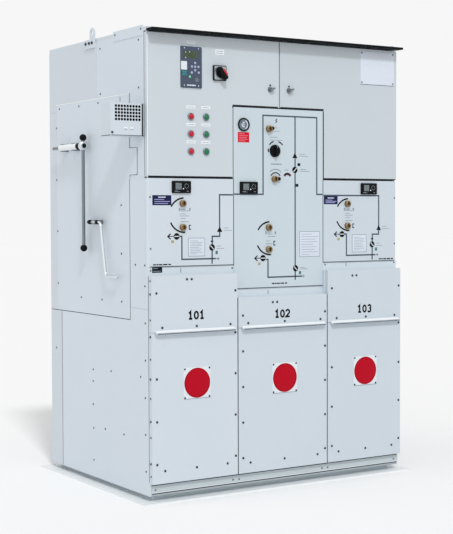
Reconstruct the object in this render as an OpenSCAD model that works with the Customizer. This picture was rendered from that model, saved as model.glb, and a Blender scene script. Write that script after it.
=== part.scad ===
// Free-standing gas insulated switchgear cubicle: two load-break switch bays beside one breaker bay,
// with a low-voltage compartment over them. Front faces -Y, +Z is up, the floor is z = 0.

/* [Bays] */
// Width of each load-break switch bay
switch_bay_w = 406; // [340:1:480]
// Width of the breaker bay in the middle
breaker_bay_w = 458; // [400:1:540]
// Depth of the cubicle from the door faces to the back
body_d = 899; // [800:1:1000]
// Depth of the low-voltage compartment from the door faces
lv_d = 434; // [320:1:520]

/* [Heights] */
// Height of the kick plate below the covers
kick_h = 50; // [30:1:90]
// Height of the lower cable covers
lower_cover_h = 606; // [450:1:700]
// Height of the upper cable covers on the switch bays
upper_cover_h = 226; // [180:1:280]
// Height of the upper cable cover on the breaker bay
breaker_cover_h = 126; // [100:1:160]
// Height of the bare band between a cover and the panel over it
band_h = 34; // [20:1:50]
// Height of the operating panels on the switch bays
switch_panel_h = 353; // [300:1:420]
// Height by which the breaker panel stands up between the doors
panel_step_h = 296; // [200:1:330]
// Height of the low-voltage compartment
lv_h = 581; // [520:1:640]
// Thickness of the roof
roof_t = 16; // [10:1:30]

/* [Base] */
// Thickness of the floor flange
flange_t = 6; // [4:1:12]
// Height of the recessed channel between flange and body
channel_h = 22; // [15:1:60]
// Setback of the channel from the body faces
channel_setback = 30; // [15:1:50]
// Width of the channel ring
channel_w = 60; // [40:1:90]
// Reach of the flange beyond each side
flange_side = 44; // [36:1:60]
// Reach of the flange in front of the door faces
flange_front = 47; // [40:1:70]
// Reach of the flange behind the back
flange_rear = 40; // [36:1:60]
// Diameter of the floor anchor holes
anchor_hole_d = 14; // [10:1:20]
// Distance from an anchor hole to the flange edge
anchor_edge = 18; // [14:1:22]

/* [Sheet metal] */
// Thickness of the body sheets
sheet_t = 2; // [1.5:0.5:3]
// Thickness of the compartment walls
wall_t = 3; // [2:0.5:5]
// Thickness of covers and doors
cover_t = 2.5; // [1.5:0.5:3]
// Depth of the cover trays
cover_d = 20; // [14:1:30]
// Distance of the cover frame in front of the door faces
frame_proud = 11; // [8:1:20]
// Thickness of the operating panels
panel_t = 3; // [2:0.5:5]
// Bend radius of the outer panel edges
panel_bend = 13; // [8:1:18]
// Gap between neighbouring covers
cover_gap = 5; // [3:1:8]
// Reach of the lip at the foot of an upper cover
lip_len = 22; // [15:1:30]
// Slope of that lip below the horizontal
lip_angle = 36; // [20:1:50]
// Setback of the lip from the edges of its cover
lip_inset = 8; // [4:1:12]
// Forward reach of the canopy over the doors
canopy_reach = 45; // [30:1:60]
// Height of the upturned canopy edge
canopy_lip = 6; // [4:1:14]

/* [Doors] */
// Depth of the folded door trays
door_d = 18; // [16:1:22]
// Clear gap round each door
door_gap = 5; // [4:1:8]
// Distance of the door seam from the middle
seam_x = 2; // [0:1:30]
// Distance of a hinge axis from the door's outer edge
hinge_inset = 6; // [5.5:0.5:7]
// Distance of a hinge axis behind the door face
hinge_back = 8; // [7:0.5:9]
// Diameter of the hinge pins
pin_d = 6; // [4:0.5:8]
// Running clearance round pins and shafts
run_clear = 0.08; // [0.05:0.01:0.1]
// Distance of the compartment wall behind the door faces
wall_setback = 24; // [22:1:34]

/* [Controls] */
// Distance of the door locks from the seam
lock_from_seam = 48; // [40:1:70]
// Height of the door locks over the breaker panel
lock_rise = 79; // [50:1:120]
// Diameter of the lock barrels
lock_d = 20; // [16:1:24]
// Reach of the lock wings in front of the doors
lock_reach = 18; // [14:1:24]
// Width of the protection relay
relay_w = 104; // [80:1:115]
// Height of the protection relay
relay_h = 170; // [150:1:180]
// Reach of the relay in front of its door
relay_t = 5; // [4:0.5:12]
// Side of the square selector plate
selector_side = 62; // [48:1:72]
// Diameter of the selector knob
selector_knob_d = 40; // [30:1:46]
// Length of the selector handle
selector_handle = 62; // [44:1:66]
// Diameter of the lamp bezels
lamp_d = 30; // [24:1:34]
// Diameter of the lamp lenses
lens_d = 22; // [16:1:24]
// Spacing of the lamps across
lamp_dx = 72; // [50:1:90]
// Spacing of the lamps down
lamp_dz = 70; // [50:1:80]
// Diameter of the breaker knob
breaker_knob_d = 52; // [40:1:60]
// Width of a voltage indicator
indicator_w = 86; // [80:1:100]
// Height of a voltage indicator
indicator_h = 49; // [40:1:56]
// Reach of a voltage indicator in front of its panel
indicator_t = 9; // [8:1:18]
// Diameter of the gas pressure gauge
gauge_d = 56; // [45:1:65]
// Outer diameter of the brass drive sockets
socket_d = 27; // [22:1:32]
// Bore of the brass drive sockets
socket_bore_d = 15; // [13:0.5:17]
// Length of the brass drive sockets
socket_len = 14; // [10:1:24]

/* [Side fittings] */
// Outward reach of the perforated vent box
vent_reach = 150; // [140:1:170]
// Depth of the vent box along the side
vent_d = 82; // [70:1:110]
// Height of the vent box
vent_h = 128; // [120:1:170]
// Diameter of the vent holes
vent_hole_d = 9; // [6:0.5:10]
// Pitch of the vent holes
vent_pitch = 13; // [11:0.5:14]
// Height of the vent's foot below the top of the side plate
vent_drop = 179; // [170:1:200]
// Diameter of the lever bar
lever_bar_d = 14; // [10:1:18]
// Length of the lever bar between its balls
lever_bar_len = 470; // [380:1:520]
// Diameter of the lever balls
ball_d = 30; // [26:1:38]
// Diameter of the lever's neck between eye and tube
lever_neck_d = 17; // [15:0.5:18]
// Length of that neck from the middle of the eye
lever_neck_len = 79; // [60:1:90]
// Diameter of the lever's socket tube
lever_tube_d = 26; // [22:1:30]
// Distance of the tube's far end from the middle of the eye
lever_tube_len = 248; // [190:1:300]
// Diameter of the spigot that fits the drive sockets
lever_spigot_d = 14; // [11:0.5:14.5]
// Length of the spigot on the socket tube
lever_spigot_len = 72; // [40:1:100]
// Diameter of the eye at the end of the socket tube
lever_eye_d = 38; // [30:1:44]
// Diameter of the crank rod
crank_d = 10; // [8:1:14]
// Bend radius of the crank rod
crank_bend = 16; // [10:1:24]
// Length of the crank's upper arm
crank_arm = 116; // [110:1:119]
// Height of the crank's slanting middle
crank_drop = 226; // [150:1:280]
// Forward run of the crank's slanting middle
crank_run = 46; // [0:1:90]
// Length of the crank's lower grip
crank_grip = 100; // [60:1:120]
// Width of the tool clips
clip_w = 16; // [10:1:24]
// Diameter of the holes in the lifting lugs
lug_hole_d = 22; // [16:1:26]
// Thickness of the lifting lugs
lug_t = 6; // [4:1:10]

/* [Hidden] */
$fn = 48;
overlap = 0.5;

// Places across, with x = 0 in the middle of the breaker bay
half_w = switch_bay_w + breaker_bay_w / 2;
half_b = breaker_bay_w / 2;
bay_x = half_b + switch_bay_w / 2;

// Places in depth
y_door = -(flange_front + body_d + flange_rear) / 2 + flange_front;
y_back = y_door + body_d;
y_lv = y_door + lv_d;
y_frame = y_door - frame_proud;
y_cover = y_frame - cover_d;
y_panel = y_door;
y_mech = y_panel + panel_t;
y_wall = y_door + wall_setback;

// Levels, upwards from the floor
z_body = flange_t + channel_h;
z_cover = z_body + kick_h;
z_lip = z_cover + lower_cover_h;
z_cover_top = z_lip + upper_cover_h;
z_panel = z_cover_top + band_h;
z_lv = z_panel + switch_panel_h;
z_lv_top = z_lv + lv_h;
z_roof = z_lv_top + roof_t;
z_breaker_cover = z_lip + breaker_cover_h;
z_breaker_panel = z_breaker_cover + band_h;
z_breaker_top = z_lv + panel_step_h;

// Side sheets: their seams, as depths behind the door faces and heights over the floor
rear_margin = 71;
strip_w = 112;
strip_drop = 269;
plate_drop = 237;
plate_lap = 183;
flank_lap = 134;
tongue_h = 107;
tongue_rise = 16;
rear_seam_rise = 20;
seam = 1;
plate_front = 143;
tongue_front = 81;
plate_rear = body_d - rear_margin;
plate_foot = z_cover_top - plate_lap;
plate_top = z_lv_top - plate_drop;
tongue_foot = z_lv + tongue_rise;
tongue_top = tongue_foot + tongue_h;
flank_foot = z_cover_top - flank_lap;
strip_front = body_d - strip_w;
strip_top = z_lv_top - strip_drop;
rear_seam = z_cover_top + rear_seam_rise;

// Roof strips and lifting lugs on the sides, as depths behind the door faces
roof_strip = [26, 278];
roof_strip_drop = 16;
roof_strip_rise = 8;
lug_w = 96;
lug_foot_h = 38;
lug_ear_r = 22;
lug_ear_rise = 26;
lug_gap = 2;

// Places on the left door, from its outer edge and from the top of the compartment
relay_in = 203;
relay_down = 135;
selector_in = 338;
selector_down = 151;
lamp_in = 202;
lamp_down = 332;
relay_x = -half_w + relay_in;
relay_z = z_lv_top - relay_down;
selector_x = -half_w + selector_in;
selector_z = z_lv_top - selector_down;
lamp_x = -half_w + lamp_in;
lamp_z = z_lv_top - lamp_down;
lock_z = z_breaker_top + lock_rise;

// Relay face: corner radius, rim, display window and round keys, from the middle of the face
relay_corner = 6;
relay_rim = 5;
relay_rim_t = 2.5;
display_size = [62, 28];
display_at = [0, 50];
display_depth = 1.5;
key_d = 9;
key_reach = 2;
relay_keys = [[18, 18], [3, 3], [18, 3], [33, 3], [18, -11], [2, -21], [35, -21], [-7, -38]];

// Selector, lamps and locks
selector_t = 9;
selector_corner = 4;
selector_dial_h = 8;
selector_knob_h = 26;
selector_shaft_d = 10;
selector_shaft_len = 6;
selector_turned = 135;
handle_w = 20;
handle_tip = 0.7;
face_gap = 0.3;
bezel_t = 7;
lens_rise = 7;
lock_rim_w = 4;
lock_rim_t = 4;
lock_wing = [7, 24];
lock_tail = 4;
lock_cam_w = 10;
lock_cam_len = 26;
lock_cam_t = 3;

// Places on the panels
knob_x = -23;
knob_down = 176;
knob_z = z_breaker_top - knob_down;
knob_dial_h = 9;
knob_h = 22;
knob_grip_w = 14;
knob_shaft_d = 14;
knob_shaft_len = 12;
knob_room = 4;
gauge_in = 50;
gauge_down = 71;
gauge_x = -half_b + gauge_in;
gauge_z = z_breaker_top - gauge_down;
gauge_t = 7;
gauge_rim = 4;
gauge_dial = 2;
gauge_hub_d = 7;
indicator_corner = 3;
indicator_window = [28, 23];
indicator_window_at = [-16, 4];
indicator_recess = 1.5;
test_sockets = [[14, 8], [27, 8], [20.5, -4]];
test_socket_d = 7;
test_socket_depth = 5;
indicator_down = 35;
indicator_z = z_lv - indicator_down;
socket_floor = 2;
socket_chamfer = 2;
socket_down = [101, 197];
left_socket_in = 42;
right_socket_in = 73;
left_socket_x = -bay_x - left_socket_in;
right_socket_x = bay_x - right_socket_in;
left_indicator_in = 6;
breaker_indicator_in = 73;
right_indicator_out = 118;
indicator_xs = [left_socket_x - left_indicator_in, -half_b + breaker_indicator_in,
    right_socket_x + right_indicator_out];
isolator_rise = 152;
earth_rise = 60;
spring_down = 85;
interlock_rise = 2;
breaker_sockets = [[-56, z_panel + isolator_rise], [-56, z_panel + earth_rise],
    [-54, z_breaker_top - spring_down], [-26, z_lv + interlock_rise]];

// Vent box holes, from the wall and from the top of the box
vent_columns = 9;
vent_rows = 5;
vent_hole_in = 22;
vent_hole_down = 12;
vent_ahead = 4;

// Stored tools on the left side plate: depths behind the door faces and heights over the floor
tool_x = -half_w - sheet_t;
lever_depth = 500;
lever_down = 196;
lever_eye_z = plate_top - lever_down;
lever_stand = 31;
eye_dimple_d = 18;
eye_dimple = 3;
tube_chamfer = 2;
crank_ahead = 142;
crank_below = 324;
crank_depth = lever_depth - crank_ahead;
crank_z = lever_eye_z - crank_below;
crank_stand = 23;
bend_swell = 0.3;
lever_clips = [95, 205];
crank_clips = [22, 90];
clip_wall = 3;
clip_lip = 2;
seat_clear = 0.2;

plate_margin = 30;
plate_rise = 20;
hinge_lug = 14;
hinge_reach = 11;

module block(x, y, z) {
    translate([x[0], y[0], z[0]]) cube([x[1] - x[0], y[1] - y[0], z[1] - z[0]]);
}

// A round bar along Y from y0 towards the front
module front_rod(d, len, at) {
    translate(at) rotate([90, 0, 0]) cylinder(d = d, h = len);
}

// A plate with rounded corners in the X-Z plane, reaching t to the front
module rounded_plate(w, h, r, t) {
    rotate([90, 0, 0]) linear_extrude(t) {
        square([w - 2 * r, h], center = true);
        square([w, h - 2 * r], center = true);
        for (x = [-1, 1], y = [-1, 1]) translate([x * (w / 2 - r), y * (h / 2 - r)]) circle(r);
    }
}

// A round piece turned about a line to the front; its profile is radius and reach
module turned(profile) {
    rotate([90, 0, 0]) rotate_extrude() polygon(profile);
}

// A domed cap of diameter d that rises h to the front
module dome(d, h) {
    r = (d * d / 4 + h * h) / (2 * h);
    intersection() {
        translate([0, r - h, 0]) sphere(r);
        front_rod(d, h + overlap, [0, overlap, 0]);
    }
}

// A turning handle whose sides taper towards its front
module handle(len, w, reach) {
    tip = handle_tip * w;
    translate([0, 0, -len / 2]) linear_extrude(len)
        polygon([[-w / 2, 0], [-tip / 2, -reach], [tip / 2, -reach], [w / 2, 0]]);
}

// Mirrors what is drawn for the right side when the left is wanted
module for_side(side) {
    if (side < 0) mirror([1, 0, 0]) children();
    else children();
}

// A flat sheet standing in the X-Z plane, its front face at y
module front_sheet(points, t, y) {
    translate([0, y + t, 0]) rotate([90, 0, 0]) linear_extrude(t) polygon(points);
}

// A flat sheet on the left (-1) or right (1) side; points are depth behind the doors and height
module side_sheet(side, points, t) {
    translate([side > 0 ? half_w : -half_w - t, y_door, 0])
        rotate([90, 0, 90]) linear_extrude(t) polygon(points);
}

function oblong(a0, a1, b0, b1) = [[a0, b0], [a1, b0], [a1, b1], [a0, b1]];

// A tray open at its back: the folded cover of one bay
module cover_tray(x, z) {
    difference() {
        block(x, [y_cover, y_frame], z);
        block([x[0] + cover_t, x[1] - cover_t], [y_cover + cover_t, y_frame + overlap],
            [z[0] + cover_t, z[1] - cover_t]);
    }
}

// The sloping lip with mitred ends at the foot of an upper cover
module cover_lip(x, z) {
    lip_w = x[1] - x[0] - 2 * lip_inset;
    translate([x[0] + lip_inset, y_cover + overlap, z + lip_len * sin(lip_angle) / 2])
        rotate([180 + lip_angle, 0, 0])
            linear_extrude(cover_t)
                polygon([[0, 0], [lip_w, 0], [lip_w - lip_inset, lip_len], [lip_inset, lip_len]]);
}

function bay_span(bay) = bay == 0
    ? [-half_b + cover_gap / 2, half_b - cover_gap / 2]
    : bay < 0 ? [-half_w, -half_b - cover_gap / 2] : [half_b + cover_gap / 2, half_w];

module upper_cover(bay) {
    x = bay_span(bay);
    top = bay == 0 ? z_breaker_cover : z_cover_top;
    color("#cdd6dd") {
        cover_tray(x, [z_lip, top]);
        cover_lip(x, z_lip);
    }
}

module lower_cover(bay) {
    color("#cdd6dd") cover_tray(bay_span(bay), [z_cover, z_lip - seam]);
}

// Base frame: the flange ring on the floor with the recessed channel on it
module base_frame() {
    inner = channel_setback + channel_w;
    color("#c3cacf") difference() {
        union() {
            block([-half_w - flange_side, half_w + flange_side],
                [y_door - flange_front, y_back + flange_rear], [0, flange_t]);
            block([-half_w + channel_setback, half_w - channel_setback],
                [y_frame + channel_setback, y_back - channel_setback], [flange_t - overlap, z_body]);
        }
        block([-half_w + inner, half_w - inner], [y_frame + inner, y_back - inner],
            [-overlap, z_body + overlap]);
        for (x = [-1, 1]) {
            for (y = [y_door - flange_front + anchor_edge, y_back + flange_rear - anchor_edge])
                translate([x * (half_w - anchor_edge), y, -overlap])
                    cylinder(d = anchor_hole_d, h = flange_t + 2 * overlap);
            translate([x * (half_w + flange_side - anchor_edge), (y_door + y_back) / 2, -overlap])
                cylinder(d = anchor_hole_d, h = flange_t + 2 * overlap);
        }
    }
}

module kick_plate() {
    color("#c6ced4")
        block([-half_w + wall_t, half_w - wall_t], [y_frame - sheet_t, y_frame], [z_body, z_cover - seam]);
}

// The closed welded housing behind covers and panels, with a corner post under each lower hinge pin
module front_housing() {
    bend_x = half_w + sheet_t - panel_bend;
    bend_y = y_panel + panel_bend;
    color("#c4ccd2") {
        block([-half_w, half_w], [y_mech, y_lv], [z_body, z_panel]);
        block([-half_w, half_w], [bend_y, y_lv], [z_panel - overlap, z_lv]);
        block([-bend_x, bend_x], [y_mech, bend_y + overlap], [z_panel - overlap, z_lv]);
        for (bay = [-1, 0, 1]) {
            x = bay == 0 ? [-half_b, half_b] : bay < 0 ? [-half_w, -half_b] : [half_b, half_w];
            block(x, [y_frame, y_mech + overlap], [z_body, bay == 0 ? z_breaker_cover : z_cover_top]);
        }
        for (side = [-1, 1]) {
            translate([side * bend_x, bend_y, z_lv - hinge_lug])
                cylinder(r = panel_bend - panel_t - seam / 2, h = hinge_lug);
            translate([side * (half_w - hinge_inset), y_door + hinge_back, z_lv - overlap])
                cylinder(d = pin_d, h = overlap + door_gap + hinge_reach);
        }
    }
}

// The raised middle of the housing behind the breaker panel, with the knob's shaft hole
module breaker_housing() {
    color("#c4ccd2") difference() {
        block([-half_b + wall_t, half_b - wall_t], [y_mech, y_lv], [z_lv, z_breaker_top - wall_t]);
        front_rod(knob_shaft_d + knob_room, knob_shaft_len + overlap,
            [knob_x, y_mech + knob_shaft_len, knob_z]);
    }
}

module rear_housing() {
    color("#c4ccd2") block([-half_w, half_w], [y_lv, y_back - sheet_t], [z_body, z_lv_top]);
}

module lower_sheet(side) {
    color("#ccd5dc") side_sheet(side, [[-frame_proud, z_body], [strip_front - seam, z_body],
        [strip_front - seam, plate_foot - seam], [plate_front - seam, plate_foot - seam],
        [plate_front - seam, flank_foot - seam], [-frame_proud, flank_foot - seam]], sheet_t);
}

module rear_strip(side) {
    color("#c8d1d7") side_sheet(side, [[strip_front, z_body], [body_d, z_body], [body_d, strip_top - seam],
        [plate_rear + seam, strip_top - seam], [plate_rear + seam, plate_foot],
        [strip_front, plate_foot]], sheet_t);
}

// The side plate that carries the tools, with its forward tongue
module side_plate(side) {
    color("#ced7de") side_sheet(side, [[plate_front, plate_foot], [plate_rear, plate_foot],
        [plate_rear, plate_top], [plate_front, plate_top],
        [plate_front, tongue_top], [tongue_front, tongue_top],
        [tongue_front, tongue_foot], [plate_front, tongue_foot]], sheet_t);
}

// The flank of the mechanism space, from the rounded panel edge to the side plate
module flank(side) {
    behind_bend = panel_bend + seam;
    color("#cad3da") side_sheet(side, [[-frame_proud, flank_foot], [plate_front - seam, flank_foot],
        [plate_front - seam, z_lv], [behind_bend, z_lv], [behind_bend, z_panel],
        [y_mech - y_door, z_panel], [y_mech - y_door, z_cover_top], [-frame_proud, z_cover_top]], sheet_t);
}

module tank_sheet(side) {
    color("#c9d1d6") side_sheet(side, [[lv_d, plate_top + seam], [plate_rear + seam, plate_top + seam],
        [plate_rear + seam, strip_top], [body_d, strip_top], [body_d, z_lv_top], [lv_d, z_lv_top]], sheet_t);
}

module rear_panel(z) {
    color("#c6cfd5") block([-half_w, half_w], [y_back - sheet_t, y_back], z);
}

// Operating panel of a switch bay; its outer edge is bent round onto the flank
module switch_panel(side) {
    inner = half_b + seam;
    outer = half_w + sheet_t;
    flat_end = outer - panel_bend;
    color("#cbd4da") for_side(side) translate([0, 0, z_panel]) linear_extrude(switch_panel_h - seam) {
        translate([inner, y_panel]) square([flat_end - inner, panel_t]);
        translate([flat_end, y_panel + panel_bend]) intersection() {
            difference() {
                circle(r = panel_bend);
                circle(r = panel_bend - panel_t);
            }
            translate([-overlap / 10, -panel_bend]) square(panel_bend);
        }
    }
}

module breaker_panel() {
    color("#cbd4da") difference() {
        block([-half_b + seam, half_b - seam], [y_panel, y_mech], [z_breaker_panel, z_breaker_top]);
        front_rod(knob_shaft_d + 2 * run_clear, panel_t + 2 * overlap, [knob_x, y_mech + overlap, knob_z]);
    }
}

// Roof with its canopy over the doors and the upper hinge pins
module roof() {
    color("#d0d7db") {
        block([-half_w, half_w], [y_door, y_back], [z_lv_top, z_roof]);
        block([-half_w, half_w], [y_door - canopy_reach, y_door + overlap], [z_lv_top, z_lv_top + sheet_t]);
        block([-half_w, half_w], [y_door - canopy_reach, y_door - canopy_reach + sheet_t],
            [z_lv_top, z_lv_top + canopy_lip]);
        for (side = [-1, 1])
            translate([side * (half_w - hinge_inset), y_door + hinge_back, z_lv_top - door_gap - hinge_reach])
                cylinder(d = pin_d, h = door_gap + hinge_reach + overlap);
    }
}

module roof_side_strips() {
    color("#cfd7dc") for (side = [-1, 1])
        side_sheet(side, oblong(roof_strip[0], roof_strip[1],
            z_lv_top - roof_strip_drop, z_roof + roof_strip_rise), sheet_t);
}

// Lifting lugs bolted to the sides just behind the low-voltage compartment
module lifting_lugs() {
    foot = lv_d + lug_gap;
    ear = foot + lug_gap + lug_ear_r;
    color("#c9d0d4") for (side = [-1, 1]) translate([side * (half_w + sheet_t), y_door, z_roof])
        rotate([90, 0, 90]) translate([0, 0, side > 0 ? 0 : -lug_t]) difference() {
            linear_extrude(lug_t) {
                polygon(oblong(foot, foot + lug_w, -lug_foot_h, 0));
                polygon(oblong(ear - lug_ear_r, ear + lug_ear_r, -overlap, lug_ear_rise));
                translate([ear, lug_ear_rise]) circle(r = lug_ear_r);
            }
            translate([ear, lug_ear_rise, -overlap]) cylinder(d = lug_hole_d, h = lug_t + 2 * overlap);
        }
}

module lv_wall(side) {
    color("#ccd4d9") block(side < 0 ? [-half_w, -half_w + wall_t] : [half_w - wall_t, half_w],
        [y_wall, y_lv], [z_lv, z_lv_top]);
}

// Galvanised plate at the back of the low-voltage compartment
module lv_mounting_plate() {
    color("#aab0b3") block([-half_w + plate_margin, half_w - plate_margin], [y_lv - wall_t, y_lv],
        [z_breaker_top + plate_rise, z_lv_top - plate_margin]);
}

// Outline of a door, cut round the breaker panel, with every edge moved in by i
function door_outline(edge, meet, i) =
    let (s = sign(meet - edge), notch = s > 0 ? -half_b - door_gap : half_b + door_gap,
        low = z_lv + door_gap, step = z_breaker_top + door_gap, high = z_lv_top - door_gap)
    [[edge + s * i, low + i], [notch - s * i, low + i], [notch - s * i, step + i],
     [meet - s * i, step + i], [meet - s * i, high - i], [edge + s * i, high - i]];

// A door: an L-shaped skin with folded edges, hinge lugs and a hole for its lock
module lv_door(side) {
    edge = side * half_w;
    meet = seam_x + side * door_gap / 2;
    lug_x = side < 0 ? [edge, edge + hinge_lug] : [edge - hinge_lug, edge];
    axis = [side * (half_w - hinge_inset), y_door + hinge_back, z_lv];
    color("#c8d1d5") difference() {
        union() {
            front_sheet(door_outline(edge, meet, 0), cover_t, y_door);
            difference() {
                front_sheet(door_outline(edge, meet, 0), door_d, y_door);
                front_sheet(door_outline(edge, meet, cover_t), door_d + 2 * overlap, y_door - overlap);
            }
            for (z = [z_lv + door_gap, z_lv_top - door_gap - hinge_lug])
                block(lug_x, [y_door, y_door + door_d], [z, z + hinge_lug]);
        }
        translate(axis) cylinder(d = pin_d + 2 * run_clear, h = lv_h);
        front_rod(lock_d + 2 * run_clear, cover_t + 2 * overlap,
            [seam_x + side * lock_from_seam, y_door + cover_t + overlap, lock_z]);
    }
}

// A quarter-turn lock: rim, barrel, wing handle outside and cam inside
module door_lock(side) {
    back = cover_t + lock_tail;
    rim_r = lock_d / 2 + lock_rim_w;
    color("#3a3d40") translate([seam_x + side * lock_from_seam, y_door, lock_z]) {
        front_rod(lock_d, back + face_gap + overlap, [0, back, 0]);
        translate([0, -face_gap, 0])
            turned([[0, 0], [rim_r, 0], [rim_r, lock_rim_t / 2],
                [rim_r - lock_rim_t / 2, lock_rim_t], [0, lock_rim_t]]);
        translate([0, -face_gap - lock_rim_t + overlap, 0])
            handle(lock_wing[1], lock_wing[0], lock_reach - lock_rim_t + overlap);
        block([-lock_cam_w / 2, lock_cam_w / 2], [back - lock_cam_t, back], [0, lock_cam_len]);
    }
}

// Protection relay on the left door: rim, raised face, sunk display and round keys
module protection_relay() {
    face = -relay_t;
    color("#4d5a72") translate([relay_x, y_door, relay_z]) {
        difference() {
            union() {
                rounded_plate(relay_w, relay_h, relay_corner, relay_rim_t);
                rounded_plate(relay_w - 2 * relay_rim, relay_h - 2 * relay_rim, relay_corner, relay_t);
            }
            translate([display_at[0], face + display_depth, display_at[1]])
                rounded_plate(display_size[0], display_size[1], display_depth, display_depth + overlap);
        }
        for (key = relay_keys) front_rod(key_d, key_reach + overlap, [key[0], face + overlap, key[1]]);
    }
}

module selector_base() {
    hole = selector_shaft_len + face_gap;
    color("#9aa3a9") translate([selector_x, y_door, selector_z]) difference() {
        rounded_plate(selector_side, selector_side, selector_corner, selector_t);
        front_rod(selector_shaft_d + 2 * run_clear, hole + overlap, [0, hole - selector_t, 0]);
    }
}

// The selector's knob: shaft, dial and a handle that shows its position
module selector_knob() {
    dial_r = selector_knob_d / 2;
    color("#1d1e20") translate([selector_x, y_door - selector_t, selector_z]) {
        front_rod(selector_shaft_d, selector_shaft_len + face_gap + overlap, [0, selector_shaft_len, 0]);
        translate([0, -face_gap, 0]) turned([[0, 0], [dial_r, 0], [dial_r, selector_dial_h / 2],
            [dial_r - selector_dial_h / 2, selector_dial_h], [0, selector_dial_h]]);
        translate([0, -face_gap - selector_dial_h + overlap, 0]) rotate([0, selector_turned, 0])
            handle(selector_handle, handle_w, selector_knob_h - selector_dial_h + overlap);
    }
}

// A column of three pilot lamps: turned bezel and domed lens
module lamp_column(x, lens) {
    r = lamp_d / 2;
    lip = (lamp_d - lens_d) / 4;
    for (row = [0:2]) translate([x, y_door, lamp_z - row * lamp_dz]) {
        color("#b9bfc4") turned([[0, 0], [r, 0], [r, bezel_t - lip], [r - lip, bezel_t], [0, bezel_t]]);
        color(lens) translate([0, -bezel_t + overlap, 0]) dome(lens_d, lens_rise);
    }
}

module red_lamps() {
    lamp_column(lamp_x, "#b3202a");
}

module green_lamps() {
    lamp_column(lamp_x + lamp_dx, "#1f8a4c");
}

// Voltage indicators: a black case with a sunk window and three test sockets
module voltage_indicators() {
    color("#202427") for (x = indicator_xs) translate([x, y_panel, indicator_z]) difference() {
        rounded_plate(indicator_w, indicator_h, indicator_corner, indicator_t);
        translate([indicator_window_at[0], indicator_recess - indicator_t, indicator_window_at[1]])
            rounded_plate(indicator_window[0], indicator_window[1],
                indicator_recess, indicator_recess + overlap);
        for (at = test_sockets)
            front_rod(test_socket_d, test_socket_depth + overlap,
                [at[0], test_socket_depth - indicator_t, at[1]]);
    }
}

// Gas pressure gauge: turned case with a sunk dial and a pointer hub
module gas_gauge() {
    r = gauge_d / 2;
    rim = r - gauge_rim;
    color("#d9dde0") translate([gauge_x, y_panel, gauge_z]) {
        turned([[0, 0], [r, 0], [r, gauge_dial], [r - gauge_rim / 2, gauge_t],
            [rim, gauge_t], [rim, gauge_dial], [0, gauge_dial]]);
        front_rod(gauge_hub_d, gauge_t - overlap, [0, 0, 0]);
    }
}

module drive_sockets() {
    color("#b08a45") {
        for (down = socket_down, x = [left_socket_x, right_socket_x]) drive_socket(x, z_lv - down);
        for (at = breaker_sockets) drive_socket(at[0], at[1]);
    }
}

// A turned brass socket for the lever's spigot
module drive_socket(x, z) {
    r = socket_d / 2;
    bore = socket_bore_d / 2;
    translate([x, y_panel, z]) turned([[0, 0], [r, 0], [r, socket_len - socket_chamfer],
        [r - socket_chamfer, socket_len], [bore, socket_len], [bore, socket_floor], [0, socket_floor]]);
}

// The breaker's rotary knob: shaft, dial and grip
module breaker_knob() {
    r = breaker_knob_d / 2;
    color("#17181a") translate([knob_x, y_panel, knob_z]) {
        front_rod(knob_shaft_d, knob_shaft_len + face_gap + overlap, [0, knob_shaft_len, 0]);
        translate([0, -face_gap, 0]) turned([[0, 0], [r, 0], [r, knob_dial_h / 2],
            [r - knob_dial_h / 2, knob_dial_h], [0, knob_dial_h]]);
        translate([0, -face_gap - knob_dial_h + overlap, 0])
            handle(breaker_knob_d - knob_dial_h, knob_grip_w, knob_h - knob_dial_h + overlap);
    }
}

// Perforated vent box on the left wall, close behind the door
module vent_box() {
    foot = plate_top - vent_drop;
    front = y_wall - vent_ahead;
    hole_x = -half_w - vent_hole_in;
    hole_z = foot + vent_h - vent_hole_down;
    color("#ced6db") difference() {
        block([-half_w - vent_reach, -half_w], [front, front + vent_d], [foot, foot + vent_h]);
        block([-half_w - vent_reach + sheet_t, -half_w + overlap],
            [front + sheet_t, front + vent_d - sheet_t],
            [foot + sheet_t, foot + vent_h - sheet_t]);
        for (c = [0:vent_columns - 1], r = [0:vent_rows - 1])
            front_rod(vent_hole_d, sheet_t + 2 * overlap,
                [hole_x - c * vent_pitch, front + sheet_t + overlap, hole_z - r * vent_pitch], $fn = 16);
    }
}

// The lever's socket: eye for the bar, neck, thick tube and the spigot that fits the drive sockets
module lever_socket() {
    tube = lever_tube_d / 2;
    neck = lever_neck_d / 2;
    spigot = lever_spigot_d / 2;
    end = lever_tube_len + lever_spigot_len;
    eye_t = lever_tube_d;
    color("#e4e8ea") translate([tool_x - lever_stand, y_door + lever_depth, lever_eye_z]) difference() {
        union() {
            rotate([0, 90, 0]) translate([0, 0, -eye_t / 2]) cylinder(d = lever_eye_d, h = eye_t);
            rotate([180, 0, 0]) turned([[0, 0], [neck, 0], [neck, lever_neck_len],
                [tube - tube_chamfer, lever_neck_len], [tube, lever_neck_len + tube_chamfer],
                [tube, lever_tube_len - tube_chamfer],
                [tube - tube_chamfer, lever_tube_len], [spigot, lever_tube_len], [spigot, end - tube_chamfer],
                [spigot - tube_chamfer, end], [0, end]]);
        }
        translate([0, 0, -lever_eye_d]) cylinder(d = lever_bar_d + 2 * run_clear, h = 2 * lever_eye_d);
        translate([-eye_t / 2 - overlap, 0, 0]) rotate([0, 90, 0])
            cylinder(d = eye_dimple_d, h = eye_dimple + overlap);
    }
}

// The sliding cross bar with a black ball on each end
module lever_bar() {
    top = lever_eye_z + (lever_eye_d + ball_d) / 2 + seam;
    translate([tool_x - lever_stand, y_door + lever_depth, 0]) {
        color("#8b9399") translate([0, 0, top - lever_bar_len]) cylinder(d = lever_bar_d, h = lever_bar_len);
        color("#141517") for (z = [top, top - lever_bar_len]) translate([0, 0, z]) sphere(d = ball_d);
    }
}

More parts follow.
